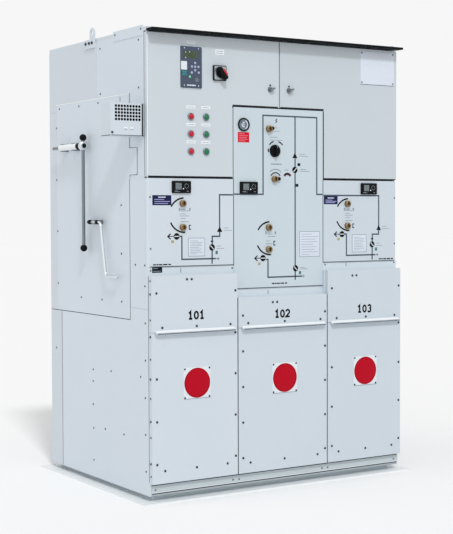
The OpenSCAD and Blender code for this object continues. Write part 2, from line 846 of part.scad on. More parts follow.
// A spring clip: a block on the side plate with a round seat for a rod that runs along the side
module clip(depth, z, rod_d, stand) {
    width = stand + clip_lip;
    height = rod_d + 2 * clip_wall;
    translate([tool_x, y_door + depth, z]) difference() {
        translate([-width, 0, -height / 2]) cube([width, clip_w, height]);
        translate([-stand, -overlap, 0]) rotate([-90, 0, 0])
            cylinder(d = rod_d + 2 * seat_clear, h = clip_w + 2 * overlap);
    }
}

module tool_clips() {
    color("#23262a") {
        for (depth = lever_clips) clip(lever_depth + depth, lever_eye_z, lever_tube_d, lever_stand);
        for (depth = crank_clips) clip(crank_depth + depth, crank_z, crank_d, crank_stand);
    }
}

// The stored crank: a round rod in the plane of the side, bent twice about a slanting middle
module crank_handle() {
    slant = atan(crank_run / crank_drop);
    turn = 90 - slant;
    cut = crank_bend * tan(turn / 2);
    middle = crank_drop / cos(slant) - 2 * cut;
    color("#b9bfc3") translate([tool_x - crank_stand, y_door + crank_depth, crank_z]) rotate([90, 0, 90]) {
        translate([cut - overlap, 0, 0]) rotate([0, 90, 0])
            cylinder(d = crank_d, h = crank_arm - cut + overlap);
        translate([cut, -crank_bend, 0]) rotate([0, 0, 90]) crank_elbow(turn);
        rotate([0, 0, 180 + turn]) translate([cut - overlap, 0, 0]) rotate([0, 90, 0])
            cylinder(d = crank_d, h = middle + 2 * overlap);
        translate([-crank_run - cut, crank_bend - crank_drop, 0]) rotate([0, 0, 270]) crank_elbow(turn);
        translate([-crank_run - crank_grip, -crank_drop, 0]) rotate([0, 90, 0])
            cylinder(d = crank_d, h = crank_grip - cut + overlap);
    }
}

module crank_elbow(turn) {
    rotate_extrude(angle = turn) translate([crank_bend, 0]) circle(d = crank_d + 2 * bend_swell);
}

base_frame();
kick_plate();
front_housing();
breaker_housing();
rear_housing();
lower_sheet(-1);  // left_lower_sheet
lower_sheet(1);  // right_lower_sheet
rear_strip(-1);  // left_rear_strip
rear_strip(1);  // right_rear_strip
side_plate(-1);  // left_side_plate
side_plate(1);  // right_side_plate
flank(-1);  // left_flank
flank(1);  // right_flank
tank_sheet(-1);  // left_tank_sheet
tank_sheet(1);  // right_tank_sheet
rear_panel([z_body, rear_seam - seam]);  // rear_lower_panel
rear_panel([rear_seam, strip_top - seam]);  // rear_middle_panel
rear_panel([strip_top, z_lv_top]);  // rear_upper_panel
switch_panel(-1);  // left_switch_panel
breaker_panel();
switch_panel(1);  // right_switch_panel
upper_cover(-1);  // left_upper_cover
upper_cover(0);  // breaker_upper_cover
upper_cover(1);  // right_upper_cover
lower_cover(-1);  // left_lower_cover
lower_cover(0);  // breaker_lower_cover
lower_cover(1);  // right_lower_cover
roof();
roof_side_strips();
lifting_lugs();
lv_wall(-1);  // lv_left_wall
lv_wall(1);  // lv_right_wall
lv_mounting_plate();
lv_door(-1);  // left_lv_door
lv_door(1);  // right_lv_door
door_lock(-1);  // left_door_lock
door_lock(1);  // right_door_lock
protection_relay();
selector_base();
selector_knob();
red_lamps();
green_lamps();
voltage_indicators();
gas_gauge();
drive_sockets();
breaker_knob();
vent_box();
lever_socket();
lever_bar();
tool_clips();
crank_handle();
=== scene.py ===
"""Looks of a free-standing gas insulated switchgear cubicle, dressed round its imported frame.

Places and sizes are millimetres in the part's own frame (front faces -Y, floor at z = 0).
A mesh is turned to metres only when its piece is made.
"""
import math

import bmesh
import bpy
import numpy as np
from mathutils import Matrix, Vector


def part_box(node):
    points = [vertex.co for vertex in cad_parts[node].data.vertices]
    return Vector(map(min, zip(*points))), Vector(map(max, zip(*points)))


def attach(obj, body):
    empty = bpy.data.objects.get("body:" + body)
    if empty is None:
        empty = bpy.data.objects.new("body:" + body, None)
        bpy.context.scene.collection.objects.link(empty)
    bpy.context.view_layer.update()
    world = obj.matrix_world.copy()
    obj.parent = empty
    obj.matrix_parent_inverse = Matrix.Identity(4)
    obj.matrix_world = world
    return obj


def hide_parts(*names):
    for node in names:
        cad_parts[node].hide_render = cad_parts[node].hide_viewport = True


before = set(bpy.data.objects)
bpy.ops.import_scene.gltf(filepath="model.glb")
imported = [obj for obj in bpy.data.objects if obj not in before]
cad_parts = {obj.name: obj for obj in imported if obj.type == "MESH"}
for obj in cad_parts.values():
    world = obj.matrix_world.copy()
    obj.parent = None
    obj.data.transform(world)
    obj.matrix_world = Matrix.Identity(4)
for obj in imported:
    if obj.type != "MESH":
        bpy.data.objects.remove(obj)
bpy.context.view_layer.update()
MM = 0.001


# ---- Shapes: arrays of points with arrays of faces, drawn as (right, up, out) ----

# Right, up and outward directions of a face, for someone who stands in front of it
FACING = {
    "front": [[1, 0, 0], [0, 0, 1], [0, -1, 0]],
    "left": [[0, -1, 0], [0, 0, 1], [-1, 0, 0]],
    "right": [[0, 1, 0], [0, 0, 1], [1, 0, 0]],
    "back": [[-1, 0, 0], [0, 0, 1], [0, 1, 0]],
    "up": [[1, 0, 0], [0, 1, 0], [0, 0, 1]],
    "down": [[1, 0, 0], [0, -1, 0], [0, 0, -1]],
}
SIDES = (("left", -1), ("right", 1))


def grid_faces(rows, columns):
    """Quads between neighbouring rows of a grid of points whose last column joins the first."""
    r = np.arange(rows - 1)[:, None] * columns
    c = np.arange(columns)[None, :]
    after = (c + 1) % columns
    return np.stack([r + c, r + after, r + columns + after, r + columns + c], -1).reshape(-1, 4)


def joined(*shapes):
    """Several shapes as one: points are stacked and face numbers moved up by the points before them."""
    starts = np.cumsum([0] + [len(s[0]) for s in shapes])
    return (np.concatenate([s[0] for s in shapes]),
            [f + n for s, n in zip(shapes, starts) for f in s[1]])


def turned(profile, steps=24):
    """Lathe: a profile of (radius, out) points carried round the outward axis."""
    p = np.asarray(profile, float)
    a = np.linspace(0, 2 * np.pi, steps, endpoint=False)
    points = np.stack([p[:, :1] * np.cos(a), p[:, :1] * np.sin(a), np.repeat(p[:, 1:], steps, 1)], -1)
    return points.reshape(-1, 3), [grid_faces(len(p), steps)]


def mitres(path, closed=True):
    """Mitre vectors to the left of a path, inwards where it runs anticlockwise: the sum of the two edges' left normals
    divided by one plus their dot product."""
    ahead = np.roll(path, -1, 0) - path
    if not closed:
        ahead[-1] = ahead[-2]
    ahead = ahead / np.linalg.norm(ahead, axis=1, keepdims=True)
    after = np.stack([-ahead[:, 1], ahead[:, 0]], 1)
    before = np.roll(after, 1, 0)
    if not closed:
        before[0] = after[0]
    return (after + before) / (1 + (after * before).sum(1))[:, None]


def pressed(outline, edge):
    """Sheet form: an edge profile of (inset, out) points carried round an outline, its ends closed flat."""
    o = np.asarray(outline, float)
    m = mitres(o)
    e = np.asarray(edge, float)
    flat = o[None] + e[:, :1, None] * m[None]
    out = np.broadcast_to(e[:, 1:, None], (len(e), len(o), 1))
    points = np.concatenate([flat, out], 2).reshape(-1, 3)
    ring = np.arange(len(o))
    return points, [grid_faces(len(e), len(o)), ring[None, ::-1], ring[None] + (len(e) - 1) * len(o)]


def arc(centre, r, start, end, steps=16):
    """Points of a circular arc between two angles in degrees, anticlockwise from the right."""
    a = np.radians(np.linspace(start, end, steps))
    return np.stack([centre[0] + r * np.cos(a), centre[1] + r * np.sin(a)], 1)


def rounded(w, h, r, at=(0, 0), steps=4):
    """Outline of a rounded rectangle: a quarter circle of radius r about each corner's centre."""
    centres = np.array([[1, 1], [-1, 1], [-1, -1], [1, -1]]) * [w / 2 - r, h / 2 - r] + at
    return np.concatenate([arc(c, r, 90 * k, 90 * k + 90, steps + 1) for k, c in enumerate(centres)])


def softened(corners, before, after, r, steps):
    """Each corner as a quadratic curve between two cuts, r away towards the points before and after it."""
    cut = [(p - corners) / np.linalg.norm(p - corners, axis=1, keepdims=True) * r for p in (before, after)]
    t = np.linspace(0, 1, steps + 1)[None, :, None]
    curves = corners[:, None] + cut[0][:, None] * (1 - t) ** 2 + cut[1][:, None] * t ** 2
    return curves.reshape(-1, corners.shape[1])


def polygon(points, r=0.8, steps=2):
    """Closed outline with softened corners."""
    p = np.asarray(points, float)
    return softened(p, np.roll(p, 1, 0), np.roll(p, -1, 0), r, steps)


def bevel_edge(thick, soft, foot=0.0):
    """Edge profile of a flat plate: straight up from its foot, then a quarter round to its face."""
    return np.concatenate([[(0, foot)], arc((soft, thick - soft), soft, 180, 90, 4)])


def plate(w, h, r, thick, soft=0.4, at=(0, 0), foot=0.0):
    """A flat plate with rounded corners and a softened front edge."""
    return pressed(rounded(w, h, r, at), bevel_edge(thick, soft, foot))


def ribbon(path, width, thick, closed=False):
    """A flat strip: a rectangle of width x thick carried along a path with mitred joints."""
    p = np.asarray(path, float)
    section = np.array([[1, 0], [1, thick], [-1, thick], [-1, 0]], float)
    flat = p[:, None] + mitres(p, closed)[:, None] * section[None, :, :1] * width / 2
    points = np.concatenate([flat, np.broadcast_to(section[None, :, 1:], (len(p), 4, 1))], 2)
    if closed:
        points = np.concatenate([points, points[:1]])
    faces = [grid_faces(len(points), 4)]
    if not closed:
        faces += [np.array([[3, 2, 1, 0]]), np.array([[0, 1, 2, 3]]) + 4 * (len(p) - 1)]
    return points.reshape(-1, 3), faces


def bent(points, r, steps=6):
    """Path of a bent rod: an open line with softened inner corners."""
    p = np.asarray(points, float)
    return np.concatenate([p[:1], softened(p[1:-1], p[:-2], p[2:], r, steps), p[-1:]])


def swept_rod(path, d, steps=16):
    """Round rod along points in the YZ plane: a circle carried across each point's direction, ends domed."""
    p = np.asarray(path, float)
    ahead = np.gradient(p, axis=0)
    ahead /= np.linalg.norm(ahead, axis=1, keepdims=True)
    u = np.cross(ahead, [1.0, 0, 0])
    v = np.cross(ahead, u)
    a = np.linspace(0, 2 * np.pi, steps, endpoint=False)
    dome = np.radians([90, 60, 30])
    lean = np.concatenate([-dome, np.zeros(len(p)), dome[::-1]])
    pick = np.clip(np.arange(len(lean)) - len(dome), 0, len(p) - 1)
    centre = p[pick] + ahead[pick] * np.sin(lean)[:, None] * d / 4
    circle = u[pick][:, None] * np.cos(a)[None, :, None] + v[pick][:, None] * np.sin(a)[None, :, None]
    points = centre[:, None] + circle * np.cos(lean)[:, None, None] * d / 2
    return points.reshape(-1, 3), [grid_faces(len(pick), steps)]


def placed(shape, at, facing="front", turn=0.0):
    """Copies of a shape at each point of a list, turned in its own plane and set on a face."""
    points, faces = shape
    c, s = math.cos(math.radians(turn)), math.sin(math.radians(turn))
    spun = points @ np.array([[c, s, 0], [-s, c, 0], [0, 0, 1]])
    world = spun @ np.array(FACING[facing], float)
    at = np.atleast_2d(np.asarray(at, float))
    copies = np.arange(len(at))[:, None, None] * len(points)
    return ((world[None] + at[:, None]).reshape(-1, 3),
            [(f[None] + copies).reshape(-1, f.shape[1]) for f in faces])


def on_front(shape, y, points=((0, 0),), turn=0.0):
    """A shape on a plane of the front; points are (x, z)."""
    p = np.atleast_2d(np.asarray(points, float))
    return placed(shape, np.stack([p[:, 0], np.full(len(p), y), p[:, 1]], 1), "front", turn)


def laid(y, entries):
    """Several shapes on one plane of the front, each with its points and turn, if any."""
    return joined(*[on_front(shape, y, *rest) for shape, *rest in entries])


def dotted(shape, points):
    """Copies of a shape at points of its own plane, as one shape."""
    return placed(shape, np.column_stack([points, np.zeros(len(points))]), "up")


def raised(shape, out):
    """A shape moved outwards from its own plane."""
    return placed(shape, (0, 0, out), "up")


SHARP = math.radians(35)


def piece(name, shape, material, body="cubicle", slot=None, stands_for=()):
    """Makes one object: doubles merged, faces turned outwards, smooth up to the angle SHARP, riding on a body."""
    points, faces = shape
    mesh = bpy.data.meshes.new(name)
    mesh.from_pydata((points * MM).tolist(), [], [row for f in faces for row in f.tolist()])
    bm = bmesh.new()
    bm.from_mesh(mesh)
    bmesh.ops.remove_doubles(bm, verts=bm.verts, dist=1e-6)
    bmesh.ops.recalc_face_normals(bm, faces=bm.faces)
    bm.to_mesh(mesh)
    bm.free()
    mesh.polygons.foreach_set("use_smooth", np.ones(len(mesh.polygons), bool))
    mesh.set_sharp_from_angle(angle=SHARP)
    mesh.materials.append(material)
    obj = bpy.data.objects.new(name, mesh)
    bpy.context.scene.collection.objects.link(obj)
    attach(obj, body)
    if stands_for:
        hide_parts(*stands_for)


def fit_out(y, fittings, points=((0, 0),), body="cubicle", turn=0.0):
    """Makes pieces that share a plane, places and a body. A row is a name, shape, material, slot (not used) and nodes,
    if any.
    """
    for name, shape, material, *uses in fittings:
        piece(name, on_front(shape, y, points, turn), material, body, *uses)


# ---- Finishes ----

def linear(hex_colour):
    """An sRGB hex colour as linear red, green, blue and alpha."""
    c = np.array([int(hex_colour[i:i + 2], 16) for i in (1, 3, 5)]) / 255
    return (*np.where(c <= 0.04045, c / 12.92, ((c + 0.055) / 1.055) ** 2.4), 1.0)


def add(tree, kind, settings=None, values=None, links=None):
    """Adds a node with its settings, its sockets' values and its links from other sockets."""
    n = tree.nodes.new(kind)
    for key, value in (settings or {}).items():
        setattr(n, key, value)
    for key, value in (values or {}).items():
        n.inputs[key].default_value = value
    for key, source in (links or {}).items():
        tree.links.new(source, n.inputs[key])
    return n


def finish(name, colour, other, roughness, cloud, swing=None, grain=None, bump=None, **sockets):
    """A finish on Object coordinates: colour drifts between two tones with a cloud, roughness swings down and up
    with it, and a grain gives relief by bump's depth in millimetres and strength. A cloud or grain is a node's kind,
    output, cell in millimetres and values."""
    mat = bpy.data.materials.new(name)
    mat.use_nodes = True
    tree = mat.node_tree
    shader = tree.nodes["Principled BSDF"]
    at = add(tree, "ShaderNodeTexCoord").outputs["Object"]

    def pattern(kind, output, cell, values):
        # Object coordinates are metres, so a scale is one over the cell's size in metres
        grid = add(tree, "ShaderNodeMapping", values={"Scale": [1 / (c * MM) for c in cell]}, links={"Vector": at})
        return add(tree, kind, None, {"Scale": 1.0, **values}, {"Vector": grid.outputs[0]}).outputs[output]

    for key, value in {"Base Color": linear(colour), "Roughness": roughness, **sockets}.items():
        shader.inputs[key].default_value = value
    drift = pattern(*cloud)
    tone = add(tree, "ShaderNodeMix", {"data_type": "RGBA"}, {6: linear(colour), 7: linear(other)}, {0: drift})
    tree.links.new(tone.outputs[2], shader.inputs["Base Color"])
    if swing:
        ends = {"To Min": roughness - swing[0], "To Max": roughness + swing[1]}
        shine = add(tree, "ShaderNodeMapRange", values=ends, links={"Value": drift})
        tree.links.new(shine.outputs["Result"], shader.inputs["Roughness"])
    if grain:
        height = {"Distance": bump[0] * MM, "Strength": bump[1]}
        skin = add(tree, "ShaderNodeBump", values=height, links={"Height": pattern(*grain)})
        tree.links.new(skin.outputs["Normal"], shader.inputs["Normal"])
    return mat


NOISE, CELLS = "ShaderNodeTexNoise", "ShaderNodeTexVoronoi"


def powder_coat(name, colour, other, roughness=0.42, **sockets):
    """Polyester powder coat on sheet steel: an even satin skin with orange peel, over sheet that is never quite flat.
    The peel is about 1 mm; it is drawn 5 mm wide, so that it still breaks up a highlight in the render."""
    return finish(name, colour, other, roughness, (NOISE, "Fac", [260] * 3, {"Detail": 3}), (0.05, 0.07),
                  (NOISE, "Fac", [5] * 3, {"Detail": 2}), (0.12, 0.25), **sockets)


def moulded(name, colour, other, roughness=0.45, grain=2.5, **sockets):
    """Moulded plastic or rubber: even colour with a faint cloud, and the grain of the mould, which softens highlights.
    The grain is far finer than 1 mm; it is drawn as wide as it needs to show."""
    return finish(name, colour, other, roughness, (NOISE, "Fac", [30] * 3, {"Detail": 3}), (0.06, 0.08),
                  (CELLS, "Distance", [grain] * 3, {}), (0.05, 0.2), **sockets)


def bare_metal(name, colour, other, roughness, streak, along):
    """Worked metal: streaks of a tool or a rolling mill along one axis, which stretch and dull the highlight.
    Real streaks are finer; they are drawn as wide as they need to show, and 30 times as long."""
    cell = [streak] * 3
    cell[along] *= 30
    cut = (NOISE, "Fac", cell, {"Detail": 2})
    return finish(name, colour, other, roughness, cut, (0.08, 0.1), cut, (0.05, 0.2), Metallic=1.0)


def celled(name, colour, other, roughness, cell, metallic=0.0):
    """Cells of a given width, depth and height in millimetres, each with its own tone and its own shine:
    zinc spangle on galvanised sheet, or the characters of a display."""
    return finish(name, colour, other, roughness, (CELLS, "Color", cell, {}), (0.08, 0.1), Metallic=metallic)


def ink(name, colour, other, roughness=0.5, **sockets):
    """Screen-printed or foil mark: a thin even film with a slightly broken tone."""
    return finish(name, colour, other, roughness, (NOISE, "Fac", [6] * 3, {"Detail": 4}), **sockets)


# Low specular keeps black plastic, rubber and print as deep as they look on the real thing
DEEP = {"Specular IOR Level": 0.1}
# A thin clear coat gives a lamp lens one small glint
GLINT = {"Coat Weight": 0.1, "Specular IOR Level": 0.3}

# Pale powder coat looks soft and even; its shades step a little darker from the left bay to the right and from the left
# door to the right, and a little lighter on the side sheets
BODY = powder_coat("powder_coat_pale_grey", "#c9d2da", "#c5ced7")
MIDDLE = powder_coat("powder_coat_middle_bay", "#c5cfd7", "#c1cbd4")
RIGHT = powder_coat("powder_coat_right_bay", "#c3cdd6", "#bfcad3")
SIDE = powder_coat("powder_coat_side_grey", "#cdd6df", "#c9d3dc")
TANK = powder_coat("powder_coat_tank_grey", "#c9d0d8", "#c5cdd5")
DOOR = powder_coat("powder_coat_door_grey", "#c4cdd3", "#c0cad0")
DOOR_SHADE = powder_coat("powder_coat_right_door", "#c0c9cf", "#bcc6cc")
PANEL = powder_coat("powder_coat_panel_grey", "#c2ced6", "#becbd3", 0.45)
# The recessed band is coated lighter than the body: painted light that offsets the shade of its recess
BAND_PAINTED_LIGHT = powder_coat("powder_coat_band_grey", "#cdd7df", "#c9d4dc")

# The foot's coats: grey on the kick plate, which also paints shade on the base channel's faces; white on the flange,
# which also paints highlights along edges; and a darker grey that only paints shade
KICK_AND_SHADE = powder_coat("powder_coat_kick_plate", "#bcc6ca", "#b7c1c6", 0.5)
WHITE_AND_HIGHLIGHT = powder_coat("powder_coat_base_white", "#e7ebed", "#e0e5e7", 0.5)
SHADE_GREY = powder_coat("powder_coat_channel_grey", "#a3acb0", "#98a1a6", 0.55)

# Black coat draws the canopy's edge as a line and, under the canopy, paints its deep shade; gloss white on the lever
# carries one long highlight and also paints one along the left door's edge
CANOPY_BLACK_AND_SHADE = powder_coat("powder_coat_black", "#090b0c", "#0d0f10", 0.65, **DEEP)
WHITE_GLOSS_AND_HIGHLIGHT = powder_coat("white_gloss_paint", "#e9edef", "#e1e6e8", 0.3)

# Galvanised sheet glitters in patches as wide as its zinc crystals
ZINC_SHEET = celled("galvanised_sheet", "#b9bec0", "#9da3a6", 0.45, (9, 9, 9), 1.0)

# Black mouldings keep a faint satin edge, foam rubber swallows light, and sealant is a dull grey line; the black rubber
# and grey sealant also paint shade in gaps and holes and shadows under edges
BLACK = moulded("black_moulded_plastic", "#0a0b0c", "#0f1012", 0.5, **DEEP)
GASKET_AND_SHADE = moulded("black_foam_rubber", "#0b0c0d", "#121314", 0.8, **DEEP)
SEALANT_AND_SHADE = moulded("grey_joint_sealant", "#39434a", "#444e55", 0.7, **DEEP)

# Blackened heads read as dark dots; plated ones, castings and bezels are grey with one bright side
SCREW = bare_metal("blackened_steel_screw", "#4c5257", "#373d42", 0.45, 1.5, 2)
PALE_SCREW = bare_metal("zinc_plated_screw", "#878f95", "#6b7379", 0.42, 1.5, 2)
LOCK = bare_metal("zinc_die_casting", "#8f969b", "#6b7176", 0.35, 2.0, 2)
BEZEL = bare_metal("plated_bezel", "#a2a9ae", "#7f868c", 0.28, 1.5, 2)

# Turned brass is warm and dulled by its tool marks; the bars run from matt oiled grey to near mirror
BRASS = bare_metal("turned_brass", "#a28c6b", "#7f6a4b", 0.5, 1.5, 1)
STEEL = bare_metal("drawn_steel_bar", "#8a9297", "#70797f", 0.36, 1.2, 2)
DARK_STEEL = bare_metal("oiled_steel", "#50565a", "#3e4448", 0.4, 1.2, 2)
CHROME = bare_metal("plated_rod", "#e2e7ea", "#c6cdd1", 0.26, 1.5, 2)
ALUMINIUM = bare_metal("satin_anodised_aluminium", "#b6bdc2", "#a2abb1", 0.38, 1.2, 0)

# Relay case and gauge dial are flat and cool; the displays are glossy, broken up by their characters
SLATE = moulded("relay_slate_plastic", "#4f596b", "#485263", 0.5, **DEEP)
DIAL = moulded("grey_gauge_dial", "#6b7783", "#616c78", 0.3, 3.0)
LCD = celled("liquid_crystal_display", "#46573a", "#28331f", 0.22, (4, 40, 7))
WINDOW = celled("grey_display_window", "#7b868a", "#4a5357", 0.24, (4, 40, 4))

# Keys and inserts are clear spots of colour with a soft shine; the lenses are glossier and deeper
KEY_WHITE = moulded("white_key_plastic", "#dfe5ea", "#d3dae1", 0.4, 1.5)
KEY_GREY = moulded("lavender_key_plastic", "#a9b1cb", "#9da6c2", 0.4, 1.5)
KEY_TEAL = moulded("teal_key_plastic", "#1f8a8c", "#197a7d", 0.4, 1.5)
KEY_GREEN = moulded("green_key_plastic", "#7fd9a8", "#6bcb98", 0.4, 1.5)
RED_TIP = moulded("red_insert_plastic", "#c4182e", "#b01428", 0.4, 1.5)
RED_LENS = moulded("red_polycarbonate", "#c4062a", "#b20424", 0.3, 3.0, **GLINT)
GREEN_LENS = moulded("green_polycarbonate", "#087a52", "#066a46", 0.3, 3.0, **GLINT)

# Pale label film lies flat and a touch brighter or bluer than the sheet under it
# The white film also paints highlights on the vent's two slots
WHITE_FILM_AND_HIGHLIGHT = ink("white_label_film", "#e9eef2", "#e1e8ed")
PAPER = ink("instruction_label_film", "#d0d8e3", "#c8d1dd")
PLATE_FILM = ink("pale_blue_plate_film", "#d5dde8", "#cdd6e2")

# Print, foil and dark film have no shine of their own: flat colour from every side
# The grey print also paints thin shadows under the sign plates and the vent's slots
GREY_PRINT_AND_SHADE = ink("grey_print", "#8b97a1", "#7c8994")
LINE = ink("slate_line_foil", "#414e5a", "#4a5763", **DEEP)
INK = ink("black_print", "#07090b", "#0c0e11", **DEEP)
RED_PRINT = ink("red_label_film", "#d0142c", "#c61027", **DEEP)
NAVY = ink("navy_label_film", "#171b40", "#1d214a", **DEEP)
MAROON = ink("maroon_print", "#3c0f1a", "#481521", **DEEP)
ROSE = ink("rose_print", "#e58391", "#dd7886", **DEEP)
LAVENDER = ink("lavender_print", "#9a9ccf", "#8f91c4")
TEAL = ink("teal_print", "#3f6a61", "#387165")
YELLOW = ink("yellow_print", "#ada274", "#9d9264")

# Enamel is a smooth fused skin, so the signs shine a little more than print
SIGN_RED = ink("red_enamel", "#b60420", "#aa021c", 0.4, **DEEP)
SIGN_DARK = ink("dark_red_enamel", "#860c1a", "#7c0a17", 0.4, **DEEP)
SIGN_WHITE = ink("white_enamel", "#d8dfe5", "#d1d9df", 0.3)


# ---- Planes and edges, read from the frame ----

def side_of(node, axis, end):
    """Place of a node's lowest (0) or highest (1) side along an axis."""
    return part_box(node)[end][axis] / MM


DOOR_Y = side_of("left_lv_door", 1, 0)
PANEL_Y = side_of("breaker_panel", 1, 0)
BAND_Y = side_of("breaker_panel", 1, 1)
COVER_Y = side_of("left_lower_cover", 1, 0)
FRAME_Y = side_of("left_lower_cover", 1, 1)
KICK_Y = side_of("kick_plate", 1, 0)
BACK_Y = side_of("rear_lower_panel", 1, 1)
VENT_Y = side_of("vent_box", 1, 0)
RIGHT_X = side_of("right_side_plate", 0, 1)
HALF_W = side_of("front_housing", 0, 1)
HALF_B = side_of("breaker_panel", 0, 1) + 1
PANEL_Z = side_of("left_switch_panel", 2, 0)
FOOT_Z = side_of("breaker_panel", 2, 0)
LV_Z = side_of("lv_left_wall", 2, 0)
TOP_Z = side_of("lv_left_wall", 2, 1)
STEP_Z = side_of("breaker_panel", 2, 1)

# The first ending that fits a node's name gives its finish
COATS = [("base_frame", WHITE_AND_HIGHLIGHT), ("kick_plate", KICK_AND_SHADE), ("mounting_plate", ZINC_SHEET), ("tool_clips", PALE_SCREW),
         (("breaker_upper_cover", "breaker_lower_cover"), MIDDLE), ("breaker_panel", PANEL),
         (("right_upper_cover", "right_lower_cover", "right_switch_panel"), RIGHT), ("front_housing", BAND_PAINTED_LIGHT),
         ("left_lv_door", DOOR), ("right_lv_door", DOOR_SHADE), (("_tank_sheet", "_rear_strip"), TANK),
         (("_sheet", "_side_plate", "_strip", "_flank", "_wall", "_strips", "_lugs"), SIDE), ("", BODY)]
for name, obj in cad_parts.items():
    obj.data.materials.clear()
    obj.data.materials.append(next(coat for ending, coat in COATS if name.endswith(ending)))


# ---- Screws and bolts ----

PAN_HEAD = turned([(0, 1.4), (1.6, 1.4), (2.0, 2.9), (3.4, 2.6), (4.8, 1.3), (5.2, 0), (0, 0)], 12)
SMALL_HEAD = turned([(0, 1.0), (1.2, 1.0), (1.5, 2.0), (2.8, 1.8), (4.0, 0.9), (4.3, 0), (0, 0)], 12)
HEX_HEAD = joined(turned([(0, 1.2), (6.4, 1.2), (6.9, 0.6), (6.9, 0), (0, 0)], 18),
                  turned([(0, 5.4), (4.4, 5.4), (5.2, 4.7), (5.2, 1.0), (0, 1.0)], 6))

# Cover screws: the columns' insets, what they leave free at the top and round the lip, the pitch from which one
# more sits under the lip, the heights by the lip, and half the gap of the top pair
COLUMN_IN, COLUMN_OUT, TOP_FREE, LIP_MIDDLE, LIP_FREE = 22, 10, 45, 10, 40
WIDE_PITCH, UNDER_LIP, OVER_LIP, PAIR_HALF = 160, 16, 19, 11


def cover_screws(low, high, foot, lip, top, pair, pitch, start, row):
    """Screw places on one bay's covers: two side columns, a bottom row, a row over the lip and a top pair."""
    middle = (low + high) / 2
    heights = [z for z in np.arange(foot + start, top - TOP_FREE, pitch) if abs(z - lip + LIP_MIDDLE) > LIP_FREE]
    spots = [(x, z) for x in (low + COLUMN_IN, high - COLUMN_OUT) for z in heights]
    spots += [(high - COLUMN_OUT, lip - UNDER_LIP)] if pitch > WIDE_PITCH else []
    spots += [(x, foot + row) for x in (low + 58, middle + 4, high - 50)]
    spots += [(x, lip + OVER_LIP) for x in (low + 48, middle + 6, high - 34)]
    return spots + [(middle + pair[0] + d, top - pair[1]) for d in (-PAIR_HALF, PAIR_HALF)]


def covers_of(bay):
    """Left, right, foot, lip and top edges of a bay's two covers."""
    lower = [side_of(bay + "_lower_cover", axis, end) for axis in (0, 2) for end in (0, 1)]
    return *lower, side_of(bay + "_upper_cover", 2, 1)


# Place of the top pair from the cover's middle and top, the pitch of the side columns, and the heights of
# their first screw and of the bottom row over the foot
COVER_ROWS = {"left": ((-28, 18), 171, 78, 50), "breaker": ((-44, 26), 148, 64, 42),
              "right": ((-57, 26), 171, 70, 43)}
cover_spots = [p for bay, rows in COVER_ROWS.items() for p in cover_screws(*covers_of(bay), *rows)]

# Side screws as (depth behind the doors, height); the right side repeats the left
SIDE_SCREWS = [(216, 1191), (216, 992), (216, 795), (394, 794), (591, 794), (823, 1079), (823, 846), (846, 553),
               (796, 1622), (600, 1621), (418, 1622), (828, 1539), (829, 1308), (481, 490), (315, 499), (482, 440),
               (483, 340), (479, 238), (371, 248), (204, 248), (480, 100), (58, 501), (18, 570), (20, 420), (19, 272),
               (17, 124), (18, 719), (97, 950), (19, 950), (19, 867), (41, 1888), (261, 1888)]
WALL_SCREWS = [(400, 1847), (65, 1847), (400, 1658), (65, 1658)]
LUG_BOLTS, LUG_THICK = [(458, 1878), (485, 1878), (516, 1878)], 6
KICK_SCREWS = [(x, 53) for x in (-612, -244, -214, 214, 244, 612)]
BACK_ROWS = [(x, BACK_Y, z) for x in (-618, -210, 210, 618) for z in (60, 480, 900, 960, 1270, 1580, 1640, 1850)]
PANEL_SCREWS = [(-623, 1221), (-621, 1016), (626, 1222), (626, 1019)]
BAND_SCREWS = [(-620, 929), (-235, 930), (626, 935), (242, 933)]


def on_sides(shape, spots, reach):
    """A shape at each (depth, height) of both sides."""
    d = np.asarray(spots, float)
    y, z = DOOR_Y + d[:, 0], d[:, 1]
    return joined(*[placed(shape, np.stack([np.full(len(d), s * reach), y, z], 1), side) for side, s in SIDES])


cover_reach, cover_edge = -covers_of("left")[0], COVER_Y - DOOR_Y + 11
bold = [(cover_edge, z) for z in np.arange(160, 840, 169)]
fine = [(cover_edge, z) for z in np.arange(109, 890, 156)]
for name, material, *shapes in (
        ("cover_screws", SCREW, on_front(PAN_HEAD, COVER_Y, cover_spots)),
        ("side_screws", SCREW, on_sides(SMALL_HEAD, SIDE_SCREWS, RIGHT_X), on_sides(SMALL_HEAD, WALL_SCREWS, HALF_W)),
        ("cover_edge_screws", SCREW, on_sides(PAN_HEAD, bold, cover_reach), on_sides(SMALL_HEAD, fine, cover_reach)),
        ("lug_bolts", SCREW, on_sides(HEX_HEAD, LUG_BOLTS, RIGHT_X + LUG_THICK)),
        ("kick_plate_screws", PALE_SCREW, on_front(SMALL_HEAD, KICK_Y, KICK_SCREWS)),
        ("back_panel_screws", SCREW, placed(PAN_HEAD, BACK_ROWS, "back")),
        ("panel_screws", PALE_SCREW, on_front(SMALL_HEAD, PANEL_Y, PANEL_SCREWS),
         on_front(SMALL_HEAD, BAND_Y, BAND_SCREWS))):
    piece(name, joined(*shapes), material, slot="galvanised")
piece("side_slot", on_sides(plate(4, 20, 1.9, 0.4, 0.1), [(220, 1623)], RIGHT_X), SEALANT_AND_SHADE)


# ---- Joints between sheets: sealant lines, door seals and edge trims, with painted shade in gaps and under edges and painted highlights along edges ----

def front_lines(paths, width, thick, y):
    """Flat strips along paths of (x, z) points on a plane of the front."""
    return on_front(joined(*[ribbon(p, width, thick) for p in paths]), y)


def side_lines(paths, width, thick, reach):
    """Flat strips along paths of (depth, z) points on the left side and mirrored on the right."""
    return joined(*[placed(joined(*[ribbon(np.asarray(p) * (s, 1), width, thick) for p in paths]),
                           (s * reach, DOOR_Y, 0), side) for side, s in SIDES])


